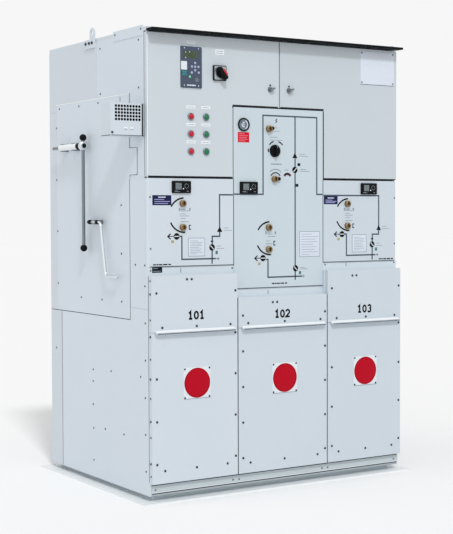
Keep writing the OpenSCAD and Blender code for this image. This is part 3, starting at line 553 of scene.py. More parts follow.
PANEL_JOINTS = [[(s * HALF_B, PANEL_Z), (s * HALF_B, LV_Z)] for s in (-1, 1)]
FOOT_JOINTS = [[(s * (HALF_B + 1), PANEL_Z), (s * (HALF_W - 12), PANEL_Z)] for s in (-1, 1)]
FOOT_JOINTS += [[(-HALF_B + 1, FOOT_Z), (HALF_B - 1, FOOT_Z)]]
piece("panel_joints", joined(front_lines(PANEL_JOINTS, 3.2, 0.4, PANEL_Y), front_lines(FOOT_JOINTS, 3, 3.4, BAND_Y)),
      SEALANT_AND_SHADE)

# Edges of the side plate and of its tongue, as depths behind the doors and heights
PLATE_FRONT, TONGUE_FRONT, PLATE_FOOT, PLATE_TOP = 143, 81, 727, 1641
TONGUE_FOOT, TONGUE_TOP = 1313, 1420
STRIP_FRONT = side_of("left_rear_strip", 1, 0) - DOOR_Y
plate_line, tongue_line = PLATE_FRONT - 1, TONGUE_FRONT - 1
wall_joints = [[(plate_line, LV_Z + 4), (plate_line, TONGUE_FOOT), (tongue_line, TONGUE_FOOT - 1),
                (tongue_line, TONGUE_TOP), (plate_line, TONGUE_TOP + 1), (plate_line, PLATE_TOP)]]
sheet_joints = [[(-9, 84), (-9, 908)], [(plate_line, PLATE_FOOT), (plate_line, LV_Z)],
                [(STRIP_FRONT, 32), (STRIP_FRONT, PLATE_FOOT - 3)]]
plate_foot = [[(PLATE_FRONT, PLATE_FOOT - 1), (890, PLATE_FOOT - 1)]]
plate_top = [[(PLATE_FRONT + 2, PLATE_TOP - 1), (834, PLATE_TOP - 1)]]
piece("side_joints", joined(side_lines(wall_joints, 3, 0.6, HALF_W), side_lines(sheet_joints, 2.6, 0.5, RIGHT_X)),
      SEALANT_AND_SHADE)
# Along the side plate: a dark strip under its foot is painted shadow, a white strip along its top edge is a painted
# highlight
piece("plate_foot_joint", side_lines(plate_foot, 3, 1.2, RIGHT_X - 1), SEALANT_AND_SHADE)
piece("plate_top_bead", side_lines(plate_top, 4, 0.8, RIGHT_X), WHITE_AND_HIGHLIGHT)

SEAL_W, SEAL_D, SEAL_Y, TRIM_Y = 4, 12, DOOR_Y + 15, DOOR_Y + 16
NOTCH_TALL, NOTCH_MIDDLE = STEP_Z - LV_Z, (STEP_Z + LV_Z) / 2
seals = [plate(2 * HALF_B, SEAL_W, 1, SEAL_D, 1, (0, STEP_Z + 1.6))]
for side, s in SIDES:
    seals += [plate(HALF_W - HALF_B - 14, SEAL_W, 1, SEAL_D, 1, (s * (HALF_W + HALF_B - 2) / 2, LV_Z + 2.2)),
              plate(SEAL_W, NOTCH_TALL - 4, 1, SEAL_D, 1, (s * (HALF_B + 1), NOTCH_MIDDLE))]
    # The notch strips paint the gap beside the breaker panel: door grey on the left, where it is lit, black on the
    # right as painted shade
    notch_gap_paint = plate(3, NOTCH_TALL - 8, 0.8, 15, 0.5, (s * (HALF_B + 3.4), NOTCH_MIDDLE))
    piece(side + "_door_notch_trim", on_front(notch_gap_paint, TRIM_Y), DOOR if s < 0 else GASKET_AND_SHADE, side + "_door")
    # A dark strip along the doors' foot and over the notch: a rubber edge that also paints the shade of the gap
    edges = [[(s * (HALF_W - 5), LV_Z + 7), (s * (HALF_B + 5), LV_Z + 7)],
             [(s * (HALF_B + 3), STEP_Z + 7), (s * 6, STEP_Z + 7)]]
    piece(side + "_door_edge_rubber", front_lines(edges, 4, 0.6, DOOR_Y), GASKET_AND_SHADE, side + "_door")
piece("door_seals", on_front(joined(*seals), SEAL_Y), GASKET_AND_SHADE)
DOOR_EDGE = side_of("left_lv_door", 0, 0)
# A white strip along the left door's outer edge is a painted highlight
edge_highlight = plate(3.6, TOP_Z - LV_Z - 30, 1.2, 0.8, 0.4, (DOOR_EDGE + 3, (TOP_Z + LV_Z) / 2))
piece("door_edge_bead", on_front(edge_highlight, DOOR_Y), WHITE_GLOSS_AND_HIGHLIGHT, "left_door")
_, _, COVER_FOOT, _, COVER_TOP = covers_of("breaker")
gaps = [[(s * HALF_B, COVER_FOOT), (s * HALF_B, COVER_TOP - 4)] for s in (-1, 1)]
piece("cover_gap_seals", front_lines(gaps, 5, 17, FRAME_Y), GASKET_AND_SHADE)

LIP_Y = side_of("roof", 1, 0)
ROOF_X = side_of("roof", 0, 1)
# The black sheet under the canopy is painted shade; the black edge and end trims draw the canopy's edge
under = placed(plate(2 * ROOF_X, DOOR_Y - LIP_Y, 0.5, 1, 0.3), (0, (DOOR_Y + LIP_Y) / 2, TOP_Z), "down")
edge = on_front(plate(2 * ROOF_X + 2, 9, 1, 1.6, 0.8, (0, TOP_Z + 3.6)), LIP_Y)
ends = side_lines([[(LIP_Y - DOOR_Y, TOP_Z + 3), (0, TOP_Z + 3)]], 8, 1, ROOF_X)
for name, shape in (("canopy_underside", under), ("canopy_edge_trim", edge), ("canopy_end_trims", ends)):
    piece(name, shape, CANOPY_BLACK_AND_SHADE, slot="body_paint")

LIP_RUN, LIP_NORMAL = np.array([-17.8, -12.9]), np.array([-0.59, 0.81])


def lip_paint_band(bay, start=0.0, end=0.66):
    """Band over a share of the sloping drip lip at the foot of a bay's upper cover, just clear of the sheet; the bands
    paint the lip's highlight and the shade at its edge.
    """
    low, high, _, lip, _ = covers_of(bay)
    root = np.array([COVER_Y, lip + 7.5])
    slope = [root + LIP_RUN * a + LIP_NORMAL * b for a, b in ((start, 0.6), (end, 0.6), (end, 1.4), (start, 1.4))]
    inset = 10 + 8 * end
    return placed(pressed(slope, [(0, low + inset), (0, high - inset)]), (0, 0, 0), "right")


# White bands over the lips' upper part are painted highlights; grey bands at their lower edge are painted shade
piece("cover_lip_skins", joined(*[lip_paint_band(bay) for bay in COVER_ROWS]), WHITE_AND_HIGHLIGHT, slot="body_paint")
piece("cover_lip_edges", joined(*[lip_paint_band(bay, 0.88, 1.05) for bay in COVER_ROWS]), SEALANT_AND_SHADE, slot="body_paint")

# Foot: painted shade lines along the kick plate's lower edge and under the covers' foot, a band of painted shade over
# the plate's foot, a painted highlight along its folded edge, and the base channel's faces in grey as painted shade
KICK_W = 2 * HALF_W - 12
shade = [plate(KICK_W, 4, 1, 0.6, 0.2, (0, z)) for z in (37.5, COVER_FOOT - 6)]
fit_out(KICK_Y, [
    ("kick_plate_shade_lines", joined(*shade), SEALANT_AND_SHADE),
    ("kick_plate_foot", plate(KICK_W, 7, 1, 0.6, 0.2, (0, 31.8)), SHADE_GREY, "body_paint"),
    ("kick_plate_edge", plate(KICK_W, 2.4, 1, 1.6, 0.8, (0, 41)), WHITE_AND_HIGHLIGHT, "body_paint")])
CHANNEL_IN, CHANNEL_Z, CHANNEL_TALL, CHANNEL_GAP = 30, 17, 20, 4
channel_x, channel_y = HALF_W - CHANNEL_IN, FRAME_Y + CHANNEL_IN
front_face = plate(2 * channel_x - CHANNEL_GAP, CHANNEL_TALL, 1, 0.6, 0.2)
side_face = plate(BACK_Y - FRAME_Y - 2 * CHANNEL_IN - CHANNEL_GAP, CHANNEL_TALL, 1, 0.6, 0.2)
channel = [placed(side_face, (s * channel_x, (FRAME_Y + BACK_Y) / 2, CHANNEL_Z), side) for side, s in SIDES]
channel += [on_front(front_face, channel_y, [(0, CHANNEL_Z)])]
# The channel's faces are grey as painted shade in the base's recess
piece("base_channel_faces", joined(*channel), KICK_AND_SHADE, slot="base_paint")


# ---- Bay numerals ----

# Centre lines of plain digits 30 mm high: straight strokes, circular bows and, for nought, an ellipse
DIGITS = {"0": [arc((0, 0), 1, 0, 360, 25) * (8.5, 14)],
          "1": [[(-8, 8), (0, 15), (0, -15)], [(-8, -14), (8, -14)]],
          "2": [[*arc((0, 6.5), 8.5, 170, -35), (-8, -13.5), (10, -13.5)]],
          "3": [arc((0, 7.5), 7.5, 160, -80), arc((-0.5, -7), 8, 85, -160)]}
DIGIT_PITCH, STROKE = 27, 7.5
for bay, number, at in (("left", "101", (-429, 746)), ("breaker", "102", (-6, 734)), ("right", "103", (432, 737))):
    strokes = [ribbon(np.asarray(path) + (DIGIT_PITCH * (i - 1), 0), STROKE, 0.4)
               for i, digit in enumerate(number) for path in DIGITS[digit]]
    piece(bay + "_bay_numeral", on_front(joined(*strokes), COVER_Y, [at]), INK)


# ---- Round signs on the lower covers ----

SIGN_SPOTS = [(-426.5, 472), (5.5, 463), (435.6, 464.5)]
# A grey line along each sign plate's bottom edge is painted shadow
fit_out(COVER_Y, [
    ("sign_plates", plate(128, 128, 3, 1.2), SIGN_WHITE),
    ("sign_plate_feet", ribbon([(-63, -63), (63, -63)], 2, 1.3), GREY_PRINT_AND_SHADE),
    ("sign_discs", turned([(0, 2.0), (59, 2.0), (61, 1.6), (61, 1.0), (0, 1.0)], 48), SIGN_RED),
    ("sign_rings", turned([(56, 1.9), (56, 2.2), (57.6, 2.2), (57.6, 1.9), (56, 1.9)], 48), SIGN_DARK)], SIGN_SPOTS)
corners = [(x, z) for x in (-58, 58) for z in (-58, 58)]
piece("sign_screws", on_front(dotted(SMALL_HEAD, corners), COVER_Y - 1, SIGN_SPOTS), SCREW)


# ---- Mimic diagram and marks on the operating panels ----

def bars(x0, x1, z0, z1, width=2.4, count=2, thick=0.3):
    """Plain rows that stand for lines of print: strips of uneven length between two edges."""
    shares = np.resize((0.62, 1.0, 0.86, 0.95, 0.7, 0.9, 0.8, 1.0, 0.5), count)
    zs = np.linspace(z1, z0, count)
    return joined(*[ribbon([(x0, z), (x0 + (x1 - x0) * s, z)], width, thick) for s, z in zip(shares, zs)])


def dashes(x0, x1, z, height, thick=0.3):
    """One bold row of print: dashes of uneven length on one line."""
    ends = np.array([0, 0.16, 0.19, 0.3, 0.33, 0.52, 0.56, 0.8, 0.85, 1.0]).reshape(-1, 2) * (x1 - x0) + x0
    return joined(*[ribbon([(a, z), (b, z)], height, thick) for a, b in ends])


def film(x0, x1, z0, z1, thick):
    """A flat film over a rectangle."""
    return plate(x1 - x0, z1 - z0, 1, thick, 0.2, ((x0 + x1) / 2, (z0 + z1) / 2))


def switch_lines(x, start):
    """Main and earth lines of a switch bay whose marks stand round x; the main line begins at start."""
    return [[(start, 1232), (x + 169, 1232), (x + 169, 1062), (x + 133, 1062), (x + 132, 950)],
            [(x - 22, 1064), (x - 11, 1064), (x - 11, 971), (x + 150, 971)]]


def swing_arcs(x, z):
    """The two curved travel marks round a pair of sockets whose middle is (x, z)."""
    return [(ribbon(arc((x, z), 69, start, end), 6.5, 0.4),) for start, end in ((150, 92), (205, 274))]


MIMIC_W = 6
MARK_X = {"left": -466, "right": 367, "breaker": -48}
paths = [[(-226, 1235), (-82, 1235), (-82, 1564), (196, 1564), (196, 1236), (226, 1236)],
         [(82, 1564), (82, 872)], [(-68, 962), (-58, 962), (-58, 887), (118, 887)],
         *switch_lines(MARK_X["left"], -232), *switch_lines(MARK_X["right"], 232)]
piece("mimic_lines", front_lines(paths, MIMIC_W, 0.4, PANEL_Y), LINE)

TRIANGLE = pressed(polygon([(-13, -10), (13, -10), (0, 13)]), bevel_edge(0.6, 0.2))
DIAMOND = pressed(polygon([(-8, 0), (0, -5), (8, 0), (0, 5)]), bevel_edge(0.6, 0.2))
ARROW = joined(ribbon([(-12, 0), (12, 0)], 3, 0.4), ribbon([(-3, 11), (-16, 0), (-3, -11)], 5, 0.4))
DISC = turned([(0, 0.7), (13, 0.7), (13.5, 0.3), (13.5, 0), (0, 0)], 32)
SLASH = ribbon([(-8, 8), (8, -8)], 3, 0.4)
FORK = joined(ribbon([(-8, 0), (8, 0)], 3, 0.4), ribbon([(4, 6), (-2, 0), (4, -6)], 3, 0.4))
SQUARE = plate(14, 12, 1, 0.6, 0.2)
PAIR = joined(ribbon([(-24, 6), (-24, -6)], 7, 0.3), ribbon([(24, 6), (24, -6)], 7, 0.3))
HOOK = ribbon([(4, 8), (-4, 8), (-4, -8), (4, -8)], 4, 0.3)
SPRING = ribbon([(-10, 1552), (-18, 1546), (-11, 1541), (-19, 1535)], 3, 0.4)
TEAL_MARK, YELLOW_MARK = plate(11, 14, 1.5, 0.6, 0.2), plate(13, 11, 1.5, 0.6, 0.2)

# Pairs of print rows as left, right, foot, top and stroke; a switch bay's are measured from its marks
SWITCH_ROWS = [(-16, 22, 1166, 1172, 2.4), (-20, 24, 1146, 1154, 2), (-16, 22, 1123, 1136, 2),
               (188, 228, 1086, 1096, 2), (154, 190, 1012, 1022, 2)]
BREAKER_ROWS = [(-60, -20, 1058, 1068, 2.4), (104, 150, 1398, 1406, 2), (108, 158, 1334, 1342, 2.4),
                (-70, -36, 1028, 1040, 2), (-26, 4, 1500, 1514, 2), (-48, 16, 1462, 1474, 2), (108, 150, 918, 924, 2)]

# Each mark is a shape with its places and its turn
black = [*swing_arcs(MARK_X["breaker"], 1051), (TRIANGLE, [(81, 1399)]), (DISC, [(81, 1339), (84, 921), (-83, 968)]),
         (SQUARE, [(92, 1274), (102, 1362)]), (ARROW, [(-108, 968)]), (HOOK, [(-24, 1030)]), (SPRING,),
         (ribbon(arc((-19, 1299), 27, 150, 30), 4.5, 0.4),), (plate(6, 15, 1, 0.4, 0.1, (-55, 1419)),)]
black += [(ribbon(arc((-16, 1414), 44, start, end), 5, 0.4),) for start, end in ((140, 106), (74, 40))]
black += [(dashes(*row, 5),) for row in ((-38, 40, 860), (-610, -528, 952), (536, 618, 952))]
white = [(SLASH, [(81, 1339)], 90), (SLASH, [(84, 921)]), (SLASH, [(-83, 968)], 45)]
grey = [(FORK, [(124, 887)]), (PAIR, [(-44, 1074)]), (ribbon(arc((-19, 1299), 41, 132, 48), 4, 0.3),),
        (bars(28, 60, 1338, 1338, 3, 1),), (dashes(-42, 12, 1362, 5),), *[(bars(*row),) for row in BREAKER_ROWS]]
teal, yellow = [(107, 902)], [(-102, 945)]
for x in (MARK_X["left"], MARK_X["right"]):
    black += [*swing_arcs(x, 1149), (TRIANGLE, [(x + 169, 1090)]), (DIAMOND, [(x + 132, 1042)]),
              (DISC, [(x + 132, 1017), (x - 35, 1064)]), (ARROW, [(x - 60, 1064)]), (HOOK, [(x + 28, 1100)])]
    white += [(SLASH, [(x + 132, 1017)]), (SLASH, [(x - 35, 1064)], 45)]
    grey += [(FORK, [(x + 160, 971)]), (PAIR, [(x + 3, 1172)])]
    grey += [(bars(x + a, x + b, *row),) for a, b, *row in SWITCH_ROWS]
    teal += [(x + 154, 996)]
    yellow += [(x - 54, 1043)]
piece("black_marks", laid(PANEL_Y, black), INK)
piece("white_slashes", laid(PANEL_Y - 0.5, white), WHITE_FILM_AND_HIGHLIGHT)
piece("teal_marks", on_front(TEAL_MARK, PANEL_Y, teal), TEAL)
piece("yellow_marks", on_front(YELLOW_MARK, PANEL_Y, yellow), YELLOW)
piece("grey_print", laid(PANEL_Y, grey), GREY_PRINT_AND_SHADE)

# Labels as left, right, foot and top
INSTRUCTIONS = [(-448, -368, 982, 1057), (104, 212, 969, 1078), (387, 467, 984, 1062)]
NAVY_LABELS = [(-612, -525, 1189, 1229), (234, 308, 1194, 1229)]
directions = [ribbon(rounded(b - a - 2, d - c - 2, 0, ((a + b) / 2, (c + d) / 2), 0), 2, 0.5, closed=True)
              for a, b, c, d in INSTRUCTIONS]
directions += [bars(a + 10, b - 10, c + 10, d - 12, 1.6, 9, 0.6) for a, b, c, d in INSTRUCTIONS]
heads = [ribbon([((a + b) / 2 - 17, d - 8), ((a + b) / 2 + 17, d - 8)], 4, 0.7) for a, b, _, d in NAVY_LABELS]
navy_rows = [bars(a + 9, b - 6, c + 7, d - 17, 3, 3, 0.7) for a, b, c, d in NAVY_LABELS]
fit_out(PANEL_Y, [
    ("spring_charge_arc", ribbon(arc((42, 1305), 17, 155, 25), 10, 0.4), MAROON),
    ("instruction_labels", joined(*[film(*edges, 0.4) for edges in INSTRUCTIONS]), PAPER),
    ("instruction_rows", joined(*directions), GREY_PRINT_AND_SHADE),
    ("navy_labels", joined(*[film(*edges, 0.5) for edges in NAVY_LABELS]), NAVY),
    ("navy_label_heads", joined(*heads), PAPER),
    ("navy_label_rows", joined(*navy_rows), LAVENDER),
    ("red_label", film(-207, -151, 1449, 1491, 0.5), RED_PRINT),
    ("red_label_rows", bars(-201, -157, 1455, 1484, 2.5, 5, 0.7), ROSE)])
BAND_SLOTS = [(-481, 927), (356, 932), (-56, 825)]
fit_out(BAND_Y, [
    ("band_label", plate(46, 22, 1, 0.5, 0.2, (-590, 931)), INK),
    ("band_label_rows", bars(-608, -573, 926, 937, 2.5, 2, 0.7), GREY_PRINT_AND_SHADE),
    ("band_slots", dotted(plate(4, 18, 1.8, 0.4, 0.1), BAND_SLOTS), GREY_PRINT_AND_SHADE)])


# ---- Controls on the panels ----

INDICATORS = [(x, 1262) for x in (-480, -156, 477)]
dot = turned([(0, 9.6), (1.6, 9.5), (1.8, 9), (0, 9)], 8)
light = turned([(0, 9.6), (2.6, 9.5), (2.6, 9), (0, 9)], 10)
print_rows = joined(bars(-34, -10, -18, -16, 1.4, 2, 9.3), bars(22, 36, -17, -17, 2.2, 1, 9.3))
fit_out(PANEL_Y, [
    ("indicator_cases", pressed(rounded(86, 49, 3.5), [(0, 0), (0, 7.5), (0.6, 8.6), (1.6, 9)]), BLACK,
     "black_plastic", ("voltage_indicators",)),
    ("indicator_windows", plate(28, 27, 2, 9.5, 0.4, (-16, 3), 8), WINDOW),
    ("indicator_sockets", dotted(dot, arc((21, 4), 9, 0, 315, 8)), GREY_PRINT_AND_SHADE),
    ("indicator_print", print_rows, GREY_PRINT_AND_SHADE),
    ("indicator_lights", dotted(light, [(6, -7)]), WHITE_FILM_AND_HIGHLIGHT)], INDICATORS)

SOCKETS = [(-474, 1196), (-474, 1100), (359, 1196), (359, 1100), (-56, 1096), (-56, 1004), (-54, 1508), (-26, 1299)]
socket = turned([(0, 3), (7.5, 3), (7.5, 13), (8.2, 14), (11.6, 14), (13.5, 12.4), (13.5, 0), (0, 0)], 36)
shaft_end = turned([(0, 7), (4.6, 7), (5.4, 6.2), (5.4, 2.8), (0, 2.8)], 24)
stop = turned([(0, 12), (6, 12), (7.5, 10.5), (7.5, 0), (0, 0)], 20)
fit_out(PANEL_Y, [
    ("brass_sockets", socket, BRASS, "brass", ("drive_sockets",)),
    ("socket_shaft_ends", shaft_end, BRASS, "brass")], SOCKETS)
piece("socket_slots", on_front(ribbon([(-4, 0), (4, 0)], 1.8, 0.3), PANEL_Y - 7, SOCKETS, 60), DARK_STEEL)
piece("socket_stops", on_front(stop, PANEL_Y, [(-6, 1300), (-38, 1511)]), BLACK, slot="black_plastic")

KNOB_AT = (-23, 1417)
knob = joined(turned([(0, 0.3), (26, 0.3), (26, 5), (24.5, 8.2), (22, 9.2), (0, 9.2)], 48),
              pressed(rounded(13, 44, 5), [(0, 8.8), (0.5, 16), (1.6, 20.4), (3.2, 22.2)]))
fit_out(PANEL_Y, [
    ("breaker_dial_knob", knob, BLACK, "black_plastic", ("breaker_knob",)),
    ("breaker_dial_mark", raised(ribbon([(0, 12), (0, 19)], 2.2, 0.5), 22), GREY_PRINT_AND_SHADE)], [KNOB_AT], "breaker_dial")

GAUGE_AT = (-179, 1522)
gauge_edge = [(0, 0), (28, 0), (28, 4), (27, 6.4), (25.4, 7), (24.2, 6.6), (23.6, 2), (0, 2)]
scale = joined(ribbon(arc((0, 0), 18.5, 65, -65, 24), 5, 0.5), ribbon(arc((0, 0), 8.5, 60, 300, 24), 5, 0.5))
hub = turned([(0, 4.4), (3, 4.2), (3.4, 2.4), (0, 2.4)], 16)
fit_out(PANEL_Y, [
    ("gauge_case", turned(gauge_edge, 48), BLACK, "gauge_metal", ("gas_gauge",)),
    ("gauge_dial", turned([(0, 2.6), (23, 2.6), (23, 2), (0, 2)], 40), DIAL),
    ("gauge_scale", joined(raised(scale, 2.4), hub), PAPER),
    ("gauge_pointer", raised(ribbon([(2.5, -2), (-14, 11)], 1.6, 0.6), 3.0), INK)], [GAUGE_AT])


# ---- Fittings on the left door ----

RELAY_AT = (-432, 1743)
ROUND_KEY = turned([(0, 7.0), (3.6, 6.8), (5.0, 6), (5.2, 4.5), (0, 4.5)], 18)
LIGHT = turned([(0, 6.2), (1.8, 6.0), (2.4, 5.2), (2.4, 4.5), (0, 4.5)], 14)
white_keys = joined(
    dotted(LIGHT, [(-26, 59), (-8, 61), (-26, 38), (-32, 76), (34, 76), (-32, -73), (34, -73)]),
    plate(28, 34, 2, 5.5, 0.3, (-34, 6), 4), dashes(-20, 20, -72, 5, 5.3))
arrow_keys = dotted(ROUND_KEY, [(18, 18), (3, 3), (18, 3), (33, 3), (18, -11), (2, -21), (35, -20)])
square_keys = dotted(plate(9.5, 8.5, 1.5, 6.2, 0.6, (0, 0), 4.5), [(x, z) for x in (-37, -27) for z in (-19, -29)])
fit_out(DOOR_Y, [
    ("relay_rim", pressed(rounded(104, 170, 6), [(0, 0), (0, 1.8), (0.4, 2.3), (1, 2.5)]), KEY_WHITE),
    ("relay_case", pressed(rounded(101, 167, 5), [(0, 1.5), (0, 4), (0.5, 4.7), (1.4, 5)]), SLATE,
     "relay_plastic", ("protection_relay",)),
    ("relay_display", plate(70, 28, 2, 5.4, 0.3, (-2, 50), 4), LCD),
    ("relay_round_keys", arrow_keys, KEY_GREY),
    ("relay_white_keys", white_keys, KEY_WHITE),
    ("relay_port", plate(15, 15, 1, 5.6, 0.3, (26, -49), 4), WINDOW),
    ("relay_teal_keys", square_keys, KEY_TEAL),
    ("relay_green_key", dotted(ROUND_KEY, [(-7, -38)]), KEY_GREEN)], [RELAY_AT], "left_door")

SELECTOR_AT, SELECTOR_TURN, SELECTOR_Y = (-297, 1727), -140, DOOR_Y - 9.1
fit_out(DOOR_Y, [
    ("selector_case", pressed(rounded(62, 62, 4), [(0, 0), (0, 7.6), (0.5, 8.6), (1.5, 9)]), BLACK,
     "selector_plate", ("selector_base",)),
    ("selector_plate", plate(55, 55, 3, 9.3, 0.3, (0, 0), 8.5), ALUMINIUM)], [SELECTOR_AT], "left_door")
handle = joined(turned([(0, 0.4), (20, 0.4), (20, 4.6), (18, 8), (0, 8.4)], 40),
                pressed(rounded(22, 62, 10, (0, 3)), [(0, 8), (0.6, 18), (1.8, 23.5), (3.4, 26)]))
fit_out(SELECTOR_Y, [
    ("selector_grip", handle, BLACK, "black_plastic", ("selector_knob",)),
    ("selector_tip", plate(8, 30, 3, 26.5, 0.8, (-9, 4), 12), RED_TIP)], [SELECTOR_AT], "selector", SELECTOR_TURN)

LAMP_ROWS = (1546, 1476, 1406)
bezel = turned([(0, 0), (15, 0), (15, 3), (14.2, 5.6), (12.4, 7), (11.2, 6.6), (10.8, 5), (0, 5)], 36)
dome = arc((0, 0), 1, 0, 90, 9) * (10.9, 7.4) + (0, 6)
lens = turned([*dome, (0, 5), (10.9, 5), (10.9, 6)], 36)
for colour, x, lens_finish in (("red", -433, RED_LENS), ("green", -361, GREEN_LENS)):
    fit_out(DOOR_Y, [
        (colour + "_lamp_bezels", bezel, BEZEL),
        (colour + "_lamp_lenses", lens, lens_finish, colour + "_lens", (colour + "_lamps",))],
        [(x, z) for z in LAMP_ROWS], "left_door")

LAMP_TAGS = [(x, z) for x in (-432, -362) for z in (1584, 1514, 1444)]
SELECTOR_TAG, RELAY_TAG = (-294, 1812), (-430, 1845)
tags = [(plate(42, 12, 1.5, 0.8, 0.3), LAMP_TAGS), (plate(43, 22, 1.5, 0.8, 0.3), [SELECTOR_TAG]),
        (plate(40, 11, 1.5, 0.8, 0.3), [RELAY_TAG])]
piece("legend_plates", laid(DOOR_Y, tags), WHITE_FILM_AND_HIGHLIGHT, "left_door")
legend_spots = LAMP_TAGS + [(-294, 1816), (-294, 1808), RELAY_TAG]
piece("legend_rows", on_front(dashes(-16, 16, 0, 2.4, 1.0), DOOR_Y, legend_spots), GREY_PRINT_AND_SHADE, "left_door")


# ---- Door locks and bare plate ----

LOCK_Z, LOCK_TURN = 1672, -70
wing = pressed(rounded(8, 27, 3.6, (0, 6)), [(0, 4), (0.3, 14), (1.2, 17.2), (2.4, 18)])
rim = turned([(0, 0.3), (11.6, 0.3), (11.6, 2.4), (10.4, 4.2), (0, 4.6)], 36)
for side, x in (("left", -46), ("right", 50)):
    piece(side + "_lock_wing", on_front(joined(rim, wing), DOOR_Y, [(x, LOCK_Z)], LOCK_TURN), LOCK, side + "_lock",
          "lock_metal", (side + "_door_lock",))
    piece(side + "_lock_screw", on_front(SMALL_HEAD, DOOR_Y, [(x + 1, LOCK_Z + 18)]), SCREW, side + "_door")
plate_corners = [(x, z) for x in (440, 614) for z in (1728, 1856)]
fit_out(DOOR_Y, [
    ("bare_plate", plate(189, 144, 2, 1.2, 0.3, (527, 1792)), PLATE_FILM),
    # A dark line under the plate is painted shadow
    ("bare_plate_foot", ribbon([(433, 1719.5), (621, 1719.5)], 2.4, 0.9), SEALANT_AND_SHADE),
    ("bare_plate_screws", raised(dotted(SMALL_HEAD, plate_corners), 1), PALE_SCREW)], body="right_door")


# ---- Vent on the left side ----

VENT_X = side_of("vent_box", 0, 0)
VENT_FOOT, VENT_TOP = side_of("vent_box", 2, 0), side_of("vent_box", 2, 1)
VENT_TALL, VENT_MIDDLE, HOLE_PITCH = VENT_TOP - VENT_FOOT, (VENT_TOP + VENT_FOOT) / 2, 13
holes = [(-HALF_W - 22 - HOLE_PITCH * i, VENT_TOP - 12 - HOLE_PITCH * j) for j in range(5) for i in range(9)]
hole_shade_ring = turned([(4.3, 0.3), (4.3, -1.8), (5.4, -1.8), (5.4, 0.3), (4.3, 0.3)], 16)
dark_backing = pressed(rounded(126, 72, 2, (-HALF_W - 74, VENT_TOP - 42)), [(0, 0), (0, 0.8)])
# Painted shade on the vent: a black backing behind the holes and black rings in them make the holes as dark as the
# box's inside; a black strip and a grey band at its edge by the door paint the shadowed gap there
fit_out(VENT_Y, [
    ("vent_filter", raised(dark_backing, -3.2), GASKET_AND_SHADE),
    ("vent_edge_trim", plate(5, VENT_TALL, 1, 1, 0.3, (-HALF_W - 9, VENT_MIDDLE)), GASKET_AND_SHADE),
    ("vent_edge_flange", plate(6.4, VENT_TALL, 1, 0.6, 0.2, (-HALF_W - 3.2, VENT_MIDDLE)), SHADE_GREY),
    ("vent_hole_linings", dotted(hole_shade_ring, holes), GASKET_AND_SHADE),
    # Two small slots on the vent: a white strip on each is a painted highlight, a grey line under it painted shadow
    ("vent_labels", dotted(plate(14, 6, 1, 0.5, 0.2), [(-718, 1493), (-691, 1493)]), WHITE_FILM_AND_HIGHLIGHT),
    ("vent_label_rows", dotted(ribbon([(-6, 0), (6, 0)], 2.4, 0.4), [(-718, 1487), (-691, 1487)]), GREY_PRINT_AND_SHADE),
    ("vent_screw", dotted(PAN_HEAD, [(-778, 1474)]), SCREW, "galvanised")])
# Dark lines under the vent's foot, on its front and its outer side, are painted shadow
vent_foot_shadow = [on_front(plate(146, 2.4, 0.8, 0.6, 0.2, (-HALF_W - 75, VENT_FOOT + 1.4)), VENT_Y),
              placed(plate(76, 2.4, 0.8, 0.6, 0.2), (VENT_X, VENT_Y + 41, VENT_FOOT + 1.4), "left")]
piece("vent_foot_line", joined(*vent_foot_shadow), SEALANT_AND_SHADE)


# ---- Lever and crank stored on the left side ----

EYE = np.array([-668.0, DOOR_Y + 500, 1445.0])
BALL_UP, BAR_LEN, BALL_R = 35, 470, 15
BAR_LOW, BAR_HIGH = BALL_UP - BAR_LEN + 10, BALL_UP - 10
# Lathe profiles about the lever's eye as (radius, distance), with their steps, direction and finish
for name, profile, steps, facing, material, *uses in (
        ("lever_tube", [(0, 48), (11.5, 48), (13, 50), (13, 220), (11.5, 222), (0, 222)], 36, "back",
         WHITE_GLOSS_AND_HIGHLIGHT, "lever_paint", ("lever_socket",)),
        ("lever_collar", [(0, 34), (12.6, 34), (13.8, 35.5), (13.8, 49), (12.6, 50.5), (0, 50.5)], 36, "back",
         BLACK, "black_plastic"),
        ("lever_neck", [(0, 8), (8.5, 8), (8.5, 36), (0, 36)], 28, "back", DARK_STEEL, "lever_steel"),
        ("lever_spigot", [(0, 220), (7, 220), (7, 293), (5.5, 296), (0, 296)], 28, "back", STEEL, "lever_steel"),
        ("lever_eye_ring", [(8.5, 10), (10.5, 12.6), (15.5, 12.6), (19, 10), (19, -10), (15.5, -12.6), (10.5, -12.6),
                            (8.5, -10), (8.5, 10)], 40, "front", CHROME, "lever_steel"),
        ("lever_eye_plug", [(0, 12.4), (7.6, 12.2), (8.6, 11), (8.6, -11), (0, -11)], 28, "front", BLACK),
        ("lever_round_bar", [(0, BAR_LOW), (7, BAR_LOW), (7, BAR_HIGH), (0, BAR_HIGH)], 28, "up",
         STEEL, "lever_steel", ("lever_bar",))):
    piece(name, placed(turned(profile, steps), EYE, facing), material, "cubicle", *uses)
ball = turned(arc((0, 0), BALL_R, -90, 90, 17), 28)
ball_places = EYE + [(0, 0, BALL_UP), (0, 0, BALL_UP - BAR_LEN)]
piece("lever_balls", placed(ball, ball_places, "up"), BLACK, slot="black_plastic")

# The crank's corners and the jaws that hold it, from its upper elbow
ELBOW = np.array([-660, DOOR_Y + 358, 1121])
CRANK_D, CRANK_BEND = 12, 20
JAW = [(0, -8.6), (8, -8.6), (9.4, -7), (9.4, 7), (8, 8.6), (0, 8.6)]
corners = ELBOW + [(0, 116, 0), (0, 0, 0), (0, -46, -226), (0, -146, -226)]
piece("crank_rod", swept_rod(bent(corners, CRANK_BEND), CRANK_D), CHROME, slot="chrome_rod",
      stands_for=("crank_handle",))
piece("crank_clip_jaws", placed(turned(JAW, 28), ELBOW + [(0, 98, 0), (0, 30, 0)], "back"), BLACK, slot="black_plastic")


# ---- Floor, light and camera ----

